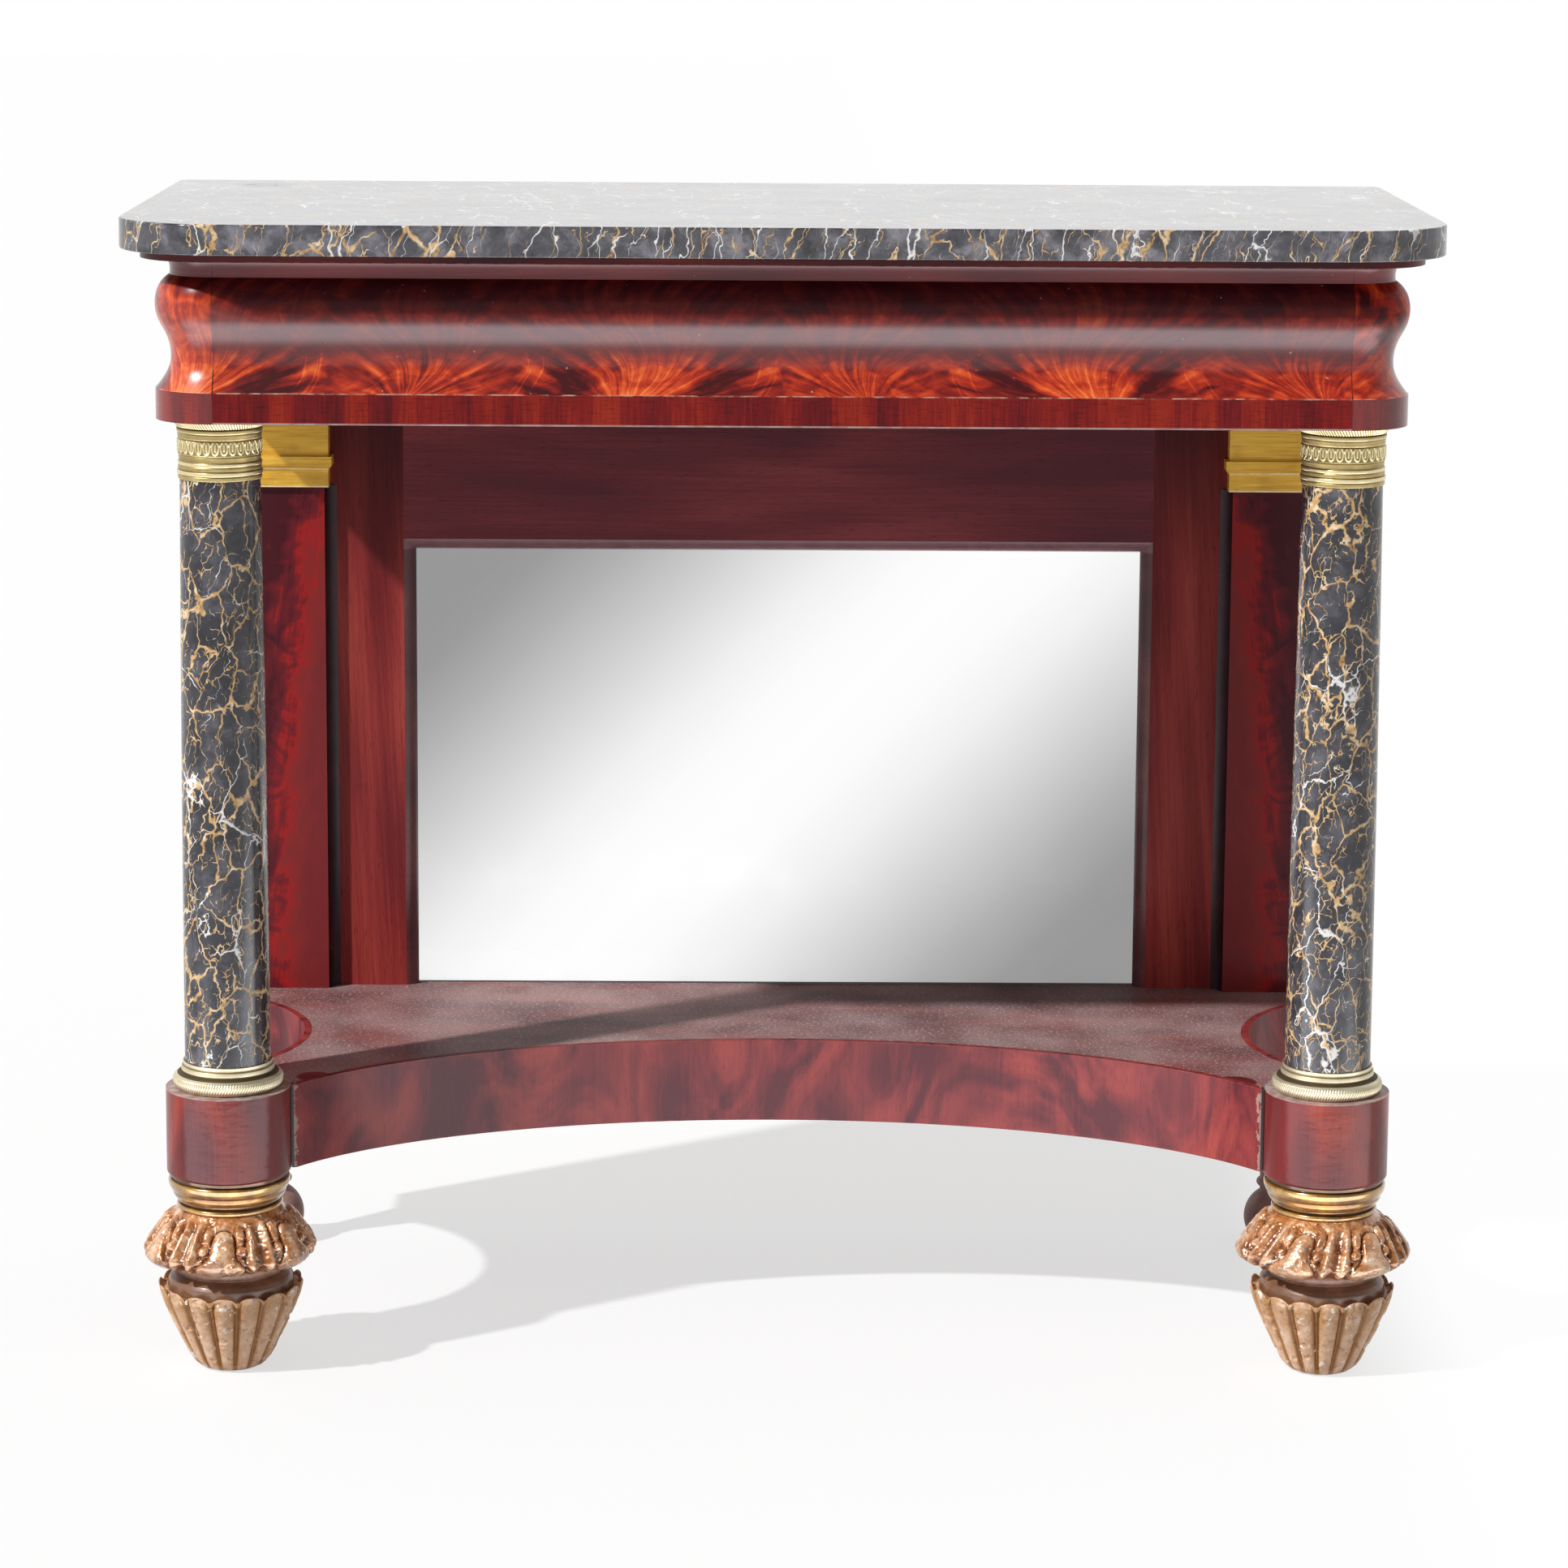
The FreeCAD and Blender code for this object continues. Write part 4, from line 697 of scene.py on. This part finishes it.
def outwards(outline):
    # unit normals of an outline that runs downwards, pointing away from the axis
    along = np.gradient(outline, axis=0)
    normal = np.stack([-along[:, 1], along[:, 0]], axis=1)
    return normal / np.maximum(np.linalg.norm(normal, axis=1), 1e-9)[:, None]


def surfaceNoise(radius, angles, height, sizeMm, seed):
    # smooth noise over a turned surface, the same in each run
    x, y = radius * np.cos(angles), radius * np.sin(angles)
    points = np.stack([x + seed * 211.0, y, height], axis=-1).reshape(-1, 3) / sizeMm
    return np.array([noise.noise(p) for p in points.tolist()]).reshape(radius.shape)


def turnedPiece(name, side, outline, raised, hollow, finish, node, lowered=0.0):
    # outline swept round the column's axis and raised along its own normal; both ends closed
    rows, count = raised.shape
    angles = np.linspace(0, 2 * math.pi, count, endpoint=False)[None, :]
    normal = outwards(outline)
    radius = outline[:, :1] + raised * normal[:, :1]
    height = outline[:, 1:] + raised * normal[:, 1:] - lowered
    x = side * columnAxisMm[0] + radius * np.cos(angles)
    y = columnAxisMm[1] + radius * np.sin(angles)
    points = np.stack([x, y, height], axis=-1).reshape(-1, 3) / 1000
    ring = np.arange(count)
    after = np.roll(ring, -1)
    faces = []
    for row in range(rows - 1):
        low, high = row * count, (row + 1) * count
        faces += np.stack([low + ring, high + ring, high + after, low + after], axis=1).tolist()
    faces.append(ring.tolist())
    faces.append((ring[::-1] + (rows - 1) * count).tolist())
    mesh = bpy.data.meshes.new(name)
    mesh.from_pydata(points.tolist(), [], faces)
    mesh.polygons.foreach_set("use_smooth", [True] * len(mesh.polygons))
    mesh.set_sharp_from_angle(angle=math.radians(50))
    mesh.attributes.new("hollow", "FLOAT", "POINT").data.foreach_set("value", np.clip(hollow, 0, 1).ravel())
    mesh.materials.append(finish)
    piece = bpy.data.objects.new(name, mesh)
    scene.collection.objects.link(piece)
    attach(piece, "table")
    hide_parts(node)


def grooveDepth(outline, reachMm, fullMm):
    # how far a point lies in behind the widest place near it, as a share of fullMm
    radius, height = outline[:, 0], outline[:, 1]
    near = np.abs(height[:, None] - height[None, :]) < reachMm
    widest = np.where(near, radius[None, :], 0).max(axis=1)
    return ((widest - radius) / fullMm)[:, None]


capital = dict(
    count=720, stepMm=0.32, softMm=0.35, knurls=96, knurlMm=0.75, knurlLean=0.6,
    flareMm=(774.6, 777.0, 780.4), leaves=30, leafMm=0.55, leafRowMm=(753.4, 764.4), leafAtMm=760.4,
    leafHalfMm=5.6, dartAtMm=762.6, dartHalfMm=2.2,
    outline=[(34.5, 780.95), (36.4, 780.6), (36.2, 779.4), (33.9, 774.6), (33.2, 774.2), (34.0, 773.6),
             (34.0, 770.6), (32.9, 770.2), (33.4, 769.6), (33.1, 765.6), (32.4, 765.1), (33.6, 764.5),
             (33.6, 753.2), (32.4, 752.5), (32.9, 751.8), (32.3, 747.6), (33.5, 747.0), (33.5, 744.7),
             (32.6, 744.2), (33.2, 743.7), (33.2, 741.1), (32.5, 740.6), (34.0, 740.0), (34.0, 737.2),
             (32.7, 736.6), (33.3, 736.1), (33.3, 733.1), (31.0, 733.05)])
columnBase = dict(
    count=720, stepMm=0.32, softMm=0.35, knurls=120, knurlMm=0.55, knurlLean=0.5,
    torusMm=(235.6, 241.0, 246.2), ringsFromMm=247.0,
    outline=[(35.0, 257.45), (36.3, 257.3), (36.4, 254.4), (35.8, 253.9), (37.3, 253.2), (37.8, 250.2),
             (37.3, 248.6), (39.3, 247.9), (39.6, 247.3), (41.2, 246.9), (43.4, 245.2), (44.4, 242.8),
             (44.5, 240.6), (43.9, 238.2), (42.6, 236.0), (41.0, 235.05)])


dullBrass = castBrass("turnedBrassWornDull",
                      [(0.12, "#e8dfc8"), (0.34, "#d3c8a8"), (0.6, "#ab9c7a"), (1.0, "#5a4c34")], dulled=0.14)


def brassPieces(side, sideName):
    angles = np.linspace(0, 2 * math.pi, capital["count"], endpoint=False)[None, :]
    outline = softOutline(capital["outline"], capital["stepMm"], capital["softMm"])
    height = outline[:, 1:]
    low, middle, high = capital["flareMm"]
    lean = (height - middle) * capital["knurlLean"]
    knurl = np.abs(np.sin(angles * capital["knurls"] / 2 + lean)) - 0.64
    flare = ((height > low) & (height < high)).astype(float)
    raised = capital["knurlMm"] * knurl * flare
    # a row of small leaves: a raised rim open at the top, a thin rib inside it and a dart between neighbours
    turn = np.mod(angles * capital["leaves"] / (2 * math.pi), 1.0) - 0.5
    leafWay = np.hypot(turn / 0.40, (height - capital["leafAtMm"]) / capital["leafHalfMm"])
    rim = np.exp(-((leafWay - 0.95) / 0.17) ** 2)
    rib = np.exp(-(turn / 0.09) ** 2) * np.clip((0.62 - leafWay) / 0.1, 0, 1)
    dartUp = (height - capital["dartAtMm"]) / capital["dartHalfMm"]
    dart = np.clip(1 - np.hypot((np.abs(turn) - 0.5) / 0.16, dartUp), 0, 1)
    leaf = rim + 0.8 * rib + 1.2 * dart - 0.4
    low, high = capital["leafRowMm"]
    row = ((height > low) & (height < high)).astype(float)
    raised = raised + capital["leafMm"] * leaf * row
    cuts = np.clip(-knurl * flare, 0, 1) * 1.3
    hollow = grooveDepth(outline, 4.0, 2.2) * (1 - flare) + cuts + np.clip(-leaf * row, 0, 1) * 1.3
    turnedPiece("brass_capital_" + sideName, side, outline, raised, hollow + 0.05, finishes["brass"],
                "column_capital_" + sideName)
    outline = softOutline(columnBase["outline"], columnBase["stepMm"], columnBase["softMm"])
    height = outline[:, 1:]
    low, middle, high = columnBase["torusMm"]
    lean = (height - middle) * columnBase["knurlLean"]
    rope = np.abs(np.sin(angles * columnBase["knurls"] / 2 - lean)) - 0.64
    torus = np.clip(np.minimum(high - height, height - low) / 1.5, 0, 1)
    raised = columnBase["knurlMm"] * rope * torus
    rings = height > columnBase["ringsFromMm"]
    hollow = grooveDepth(outline, 2.0, 2.4) * rings + np.clip(-rope * torus, 0, 1) * 0.8
    turnedPiece("brass_base_" + sideName, side, outline, raised, hollow + 0.05, dullBrass,
                "column_base_" + sideName)


footRings = dict(
    count=240, stepMm=0.4, softMm=0.5,
    outline=[(44.0, 163.45), (45.8, 163.3), (45.8, 160.0), (48.6, 159.7), (49.5, 158.2), (49.3, 155.0),
             (47.8, 151.6), (46.2, 150.2), (45.9, 147.0), (44.4, 144.4), (42.8, 143.7), (42.2, 141.6),
             (40.4, 140.6), (38.7, 140.3), (38.7, 139.5), (42.3, 139.2), (43.0, 137.6), (42.6, 135.8),
             (41.0, 135.0), (38.0, 134.6)])
footBell = dict(
    count=480, stepMm=0.5, softMm=1.4, leaves=6, tongueMm=3.4, ribMm=2.2, lobeMm=1.9, eyeMm=2.4, chipMm=1.0,
    notchMm=3.0, turnDeg={"left": 0.0, "right": -26.0}, twistDeg={"left": 3.0, "right": 15.0},
    outline=[(38.0, 135.2), (41.5, 135.0), (48.2, 130.8), (54.2, 124.8), (59.4, 117.6), (64.4, 110.6),
             (68.4, 104.8), (69.8, 101.2), (68.8, 97.4), (64.0, 93.6), (55.0, 91.4), (44.0, 90.6)])
footWaist = dict(
    count=240, stepMm=0.5, softMm=0.6, beadFromMm=81.2,
    outline=[(40.0, 91.0), (42.6, 90.8), (44.6, 88.4), (45.0, 86.0), (44.4, 83.4), (42.4, 81.2), (42.2, 80.6),
             (45.6, 79.6), (48.8, 77.2), (50.6, 74.0), (51.0, 70.6), (51.2, 66.4), (48.0, 65.6)])
footCup = dict(
    count=480, stepMm=0.6, softMm=0.9, petals=16, petalMm=2.6, cutMm=2.2, dartMm=1.7, scallopMm=5.0,
    chipMm=0.9,
    outline=[(49.0, 65.8), (54.2, 65.9), (56.4, 66.8), (57.3, 70.6), (58.3, 71.9), (59.2, 70.4), (58.6, 66.0),
             (56.2, 58.0), (52.4, 48.4), (47.0, 36.6), (40.8, 23.6), (34.4, 10.6), (31.0, 5.4), (27.4, 2.2),
             (24.0, 0.6), (22.6, 0.05), (10.0, 0.0)])


def footPieces(side, sideName):
    node = "front_foot_" + sideName
    outline = softOutline(footRings["outline"], footRings["stepMm"], footRings["softMm"])
    plain = np.zeros((len(outline), footRings["count"]))
    turnedPiece("foot_rings_" + sideName, side, outline, plain, plain + grooveDepth(outline, 3.0, 3.6),
                footFinishes["ring"], node)

    # bell of six leaves: a smooth tongue widening to an apron, curled side lobes with drilled eyes, and ribs
    angles = np.linspace(0, 2 * math.pi, footBell["count"], endpoint=False)[None, :]
    outline = softOutline(footBell["outline"], footBell["stepMm"], footBell["softMm"])
    height = outline[:, 1:]
    whole = np.ones((len(outline), footBell["count"]))
    share = np.cumsum(np.hypot(*np.gradient(outline, axis=0).T))[:, None]
    share = np.clip((share - 4.0) / (share[-1] - 16.0), 0, 1.2)  # 0 under the thin ring, 1 at the hem
    lean = math.radians(footBell["twistDeg"][sideName])
    front = -math.pi / 2 + math.radians(footBell["turnDeg"][sideName])
    leaf = 2 * math.pi / footBell["leaves"]
    turn = np.mod(angles - front + lean * (share - 0.5) + leaf / 2, leaf) - leaf / 2
    turnDeg = np.degrees(turn) * whole
    away = np.abs(turnDeg)
    apron = np.clip((share - 0.50) / 0.36, 0, 1)
    wide = 9.0 + 10.0 * apron * apron * (3 - 2 * apron)
    tongueWay = np.hypot(turnDeg / wide, np.clip((0.36 - share) / 0.16, 0, None))
    tongue = np.sqrt(np.clip(1 - tongueWay ** 2, 0, 1))
    tongueCut = np.exp(-((tongueWay - 1.10) / 0.10) ** 2) * np.clip((1.0 - share) / 0.15, 0, 1)
    ribShare = np.clip((away - 16.5) / 1.5, 0, 1) * np.clip((share - 0.08) / 0.12, 0, 1)
    rib = 1 - 2 * np.abs(np.cos((away - 16.0) / 14.0 * math.pi)) ** 1.6
    lobes = 0.0
    for lobeTurn, lobeShare, lobeDeg, lobeReach in ((14.0, 0.27, 4.4, 0.15), (15.0, 0.49, 4.0, 0.075)):
        way = np.hypot((away - lobeTurn) / lobeDeg, (share - lobeShare) / lobeReach)
        lobes = lobes + np.sqrt(np.clip(1 - way ** 2, 0, 1)) - 0.5 * np.exp(-((way - 1.15) / 0.16) ** 2)
    eyes = np.exp(-np.hypot((away - 16.5) / 1.9, (share - 0.585) / 0.034) ** 2)
    spot = surfaceNoise(outline[:, :1] * whole, angles * whole, height * whole, 7.0, 2 + side)
    fine = surfaceNoise(outline[:, :1] * whole, angles * whole, height * whole, 2.6, 6 + side)
    chip = np.clip((spot - 0.30) / 0.12, 0, 1)
    fade = np.clip(share / 0.08, 0, 1) * np.clip((1.10 - share) / 0.16, 0, 1)
    raised = (footBell["tongueMm"] * (tongue - 0.45) - 1.5 * tongueCut + footBell["ribMm"] * rib * ribShare
              + footBell["lobeMm"] * lobes - footBell["eyeMm"] * eyes - footBell["chipMm"] * chip
              + 0.35 * fine) * fade
    hollow = (0.42 - 0.36 * tongue + 0.62 * tongueCut - 0.42 * rib * ribShare - 0.30 * np.clip(lobes, -1, 1)
              + 0.7 * eyes)
    # the hem is notched where the cuts between the ribs run out
    hem = np.clip((share - 0.74) / 0.2, 0, 1) * np.clip((outline[:, :1] - 50.0) / 10.0, 0, 1)
    lowered = -footBell["notchMm"] * hem * ribShare * np.clip(-rib, 0, 1)
    turnedPiece("foot_bell_" + sideName, side, outline, raised, hollow, footFinishes["bell"], node,
                lowered)

    outline = softOutline(footWaist["outline"], footWaist["stepMm"], footWaist["softMm"])
    plain = np.zeros((len(outline), footWaist["count"]))
    bead = (outline[:, 1:] > footWaist["beadFromMm"]).astype(float)
    turnedPiece("foot_waist_" + sideName, side, outline, plain, plain + 0.4 * (1 - bead),
                footFinishes["waist"], node)

    # cup of sixteen petals with round tips; a thin dart stands in each cut between two petals
    angles = np.linspace(0, 2 * math.pi, footCup["count"], endpoint=False)[None, :]
    outline = softOutline(footCup["outline"], footCup["stepMm"], footCup["softMm"])
    height = outline[:, 1:]
    whole = np.ones((len(outline), footCup["count"]))
    petal = 2 * math.pi / footCup["petals"]
    # 0 mid petal, 1 in the cut
    turn = np.abs(np.mod(angles + math.pi / 2 + petal / 2, petal) - petal / 2) / (petal / 2)
    crest = int(np.argmax(outline[:, 1]))
    outer = np.arange(len(outline))[:, None] >= crest
    bulge = np.cos(np.clip(turn / 0.86, 0, 1) * math.pi / 2) ** 0.7
    cut = np.clip((turn - 0.66) / 0.16, 0, 1)
    dart = np.exp(-((turn - 1.0) / 0.10) ** 2)
    toe = np.clip((height - 1.2) / 5.0, 0, 1)
    size = np.clip(outline[:, :1] / 59.0, 0.4, 1)
    spot = surfaceNoise(outline[:, :1] * whole, angles * whole, height * whole, 9.0, 4 + side)
    fine = surfaceNoise(outline[:, :1] * whole, angles * whole, height * whole, 3.0, 8 + side)
    chip = np.clip((spot - 0.32) / 0.12, 0, 1)
    carved = footCup["petalMm"] * (bulge - 1) - footCup["cutMm"] * cut + footCup["dartMm"] * dart
    raised = (carved * size - footCup["chipMm"] * chip + 0.25 * fine) * outer * toe
    # the rim drops between the petals, which gives the scalloped edge
    inner = np.clip((height - 66.0) / 5.8, 0, 1)
    drop = np.where(outer, np.clip((height - 56.0) / 15.8, 0, 1), inner)
    lowered = footCup["scallopMm"] * drop * turn ** 2.4
    hollow = 0.10 + 0.35 * (1 - bulge) + 0.55 * cut - 0.45 * dart
    hollow = np.where(outer, hollow, 0.12)
    turnedPiece("foot_cup_" + sideName, side, outline, raised, hollow, footFinishes["cup"], node,
                lowered)


footFinishes = {part: footGilding(name, footLooks[part]) for part, name in (
    ("ring", "burnishedGildingOnRings"), ("cup", "bareGessoOverWood"), ("waist", "brownBoleTurned"))}
footFinishes["bell"] = finishes["gilt_foot"]
for side, sideName in ((-1, "left"), (1, "right")):
    brassPieces(side, sideName)
    footPieces(side, sideName)
print("brass and feet made")


studio = dict(floorFrontM=-4.3, floorBackM=24.0, floorHalfM=20.0, sunFrom=(-0.887, -0.60, 1.0), sun=3.4,
              sunDeg=2.0, ambient=0.34, paperGlow=(0.64, 0.98), fadeM=(0.40, 0.60), cardM=(3.0, 0.72),
              cardAt=(0.0, -0.66, 0.006), cardWatt=26.0)

floorMesh = bpy.data.meshes.new("studio_floor")
half, near, far = studio["floorHalfM"], studio["floorFrontM"], studio["floorBackM"]
corners = [(-half, near, 0.0), (half, near, 0.0), (half, far, 0.0), (-half, far, 0.0)]
floorMesh.from_pydata(corners, [], [(0, 1, 2, 3)])
floor = bpy.data.objects.new("studio_floor", floorMesh)
scene.collection.objects.link(floor)
paper, add, shader, place = newFinish("matteStudioPaper", Roughness=0.9, Specular_IOR_Level=0.0)
fibre = add("TexNoise", {"Vector": place, "Scale": 1000 / 3, "Detail": 2.0})
path = add("LightPath")
seen = add("Math", (path.outputs["Is Camera Ray"], path.outputs["Is Glossy Ray"]), operation="MAXIMUM")
seen = add("Math", (seen, path.outputs["Is Transmission Ray"]), operation="MAXIMUM")
greyPaper = add("ValToRGB", (fibre,), stops=[(0.3, "#bfbfbf"), (0.7, "#c4c4c4")])
# white to the eye, grey for the light it throws back up
plug(shader, Base_Color=add("Mix", (seen, greyPaper, "#f4f4f4"), data_type="RGBA"))
# painted light: the paper glows whiter beside the table on the right, so the shadow fades out there, as on
# the photograph
aside = add("SeparateXYZ", (place,)).outputs["X"]
glow = add("MapRange", (aside, *studio["fadeM"], *studio["paperGlow"]), interpolation_type="SMOOTHSTEP")
share = add("Math", (seen, glow), operation="MULTIPLY")
white = add("Emission", {"Color": "#ffffff", "Strength": 1.0})
lightened = add("MixShader", (share, shader, white))
paper.node_tree.links.new(outputOf(lightened), paper.node_tree.nodes["Material Output"].inputs["Surface"])
floor.data.materials.append(paper)

sunLamp = bpy.data.lights.new("sun", "SUN")
sunLamp.energy = studio["sun"]
sunLamp.angle = math.radians(studio["sunDeg"])
sun = bpy.data.objects.new("sun", sunLamp)
sun.rotation_euler = Vector(studio["sunFrom"]).to_track_quat("Z", "Y").to_euler()
scene.collection.objects.link(sun)

# bright ground before the table, seen only in the gloss
cardLamp = bpy.data.lights.new("groundCard", "AREA")
cardLamp.shape = "RECTANGLE"
cardLamp.size, cardLamp.size_y = studio["cardM"]
cardLamp.energy = studio["cardWatt"]
cardLamp.color = (0.92, 0.95, 1.0)
card = bpy.data.objects.new("groundCard", cardLamp)
card.location = studio["cardAt"]
card.rotation_euler = (math.pi, 0.0, 0.0)
card.visible_camera = False
card.visible_diffuse = False
scene.collection.objects.link(card)

# white for the camera; for the gloss white behind the table and dim on the camera's side and overhead
world = bpy.data.worlds.new("studio")
scene.world = world
world.use_nodes = True
world.node_tree.nodes.clear()
add = partial(addNode, world.node_tree)
path = add("LightPath")
seen = add("Math", (path.outputs["Is Camera Ray"], path.outputs["Is Transmission Ray"]), operation="MAXIMUM")
sky = add("SeparateXYZ", (add("TexCoord").outputs["Generated"],))
behind = add("MapRange", (sky.outputs["Y"], -0.45, 0.25, 0.16, 1.0), interpolation_type="SMOOTHSTEP")
above = add("MapRange", (sky.outputs["Z"], 0.45, 0.85, 1.0, 0.45), interpolation_type="SMOOTHSTEP")
glossSky = add("Math", (behind, above), operation="MULTIPLY")
ground = add("MapRange", (sky.outputs["Z"], 0.2, 0.3, 1.0, 0.0))  # the paper runs on and up
glossSky = add("Math", (glossSky, ground), operation="MAXIMUM")
glossy = add("Background", {"Color": glossSky, "Strength": 1.0})
backdrop = add("Background", {"Color": "#ffffff", "Strength": 1.0})
ambient = add("Background", {"Color": "#ffffff", "Strength": studio["ambient"]})
lit = add("MixShader", (path.outputs["Is Glossy Ray"], ambient, glossy))
whole = add("MixShader", (seen, lit, backdrop))
add("OutputWorld", {"Surface": whole})

# camera where the photograph was taken, with the frame dropped by a tenth
view = dict(at=(-0.0279, -3.8645, 1.2303), yaw=-0.0082, pitch=0.1651, roll=-0.0065, lensMm=107.5,
            shiftUp=-0.1)
right = Vector((math.cos(view["yaw"]), math.sin(view["yaw"]), 0))
ahead = Vector((-math.sin(view["yaw"]), math.cos(view["yaw"]), 0))
forward = ahead * math.cos(view["pitch"]) - Vector((0, 0, 1)) * math.sin(view["pitch"])
upward = ahead * math.sin(view["pitch"]) + Vector((0, 0, 1)) * math.cos(view["pitch"])
cosRoll, sinRoll = math.cos(view["roll"]), math.sin(view["roll"])
camRight = right * cosRoll - upward * sinRoll
camUp = right * sinRoll + upward * cosRoll
cameraData = bpy.data.cameras.new("camera")
cameraData.sensor_width = 36.0
cameraData.lens = view["lensMm"]
cameraData.shift_y = view["shiftUp"]
camera = bpy.data.objects.new("camera", cameraData)
turn = Matrix((camRight, camUp, -forward)).transposed()
camera.matrix_world = Matrix.Translation(view["at"]) @ turn.to_4x4()
scene.collection.objects.link(camera)
scene.camera = camera
print("studio and camera ready")
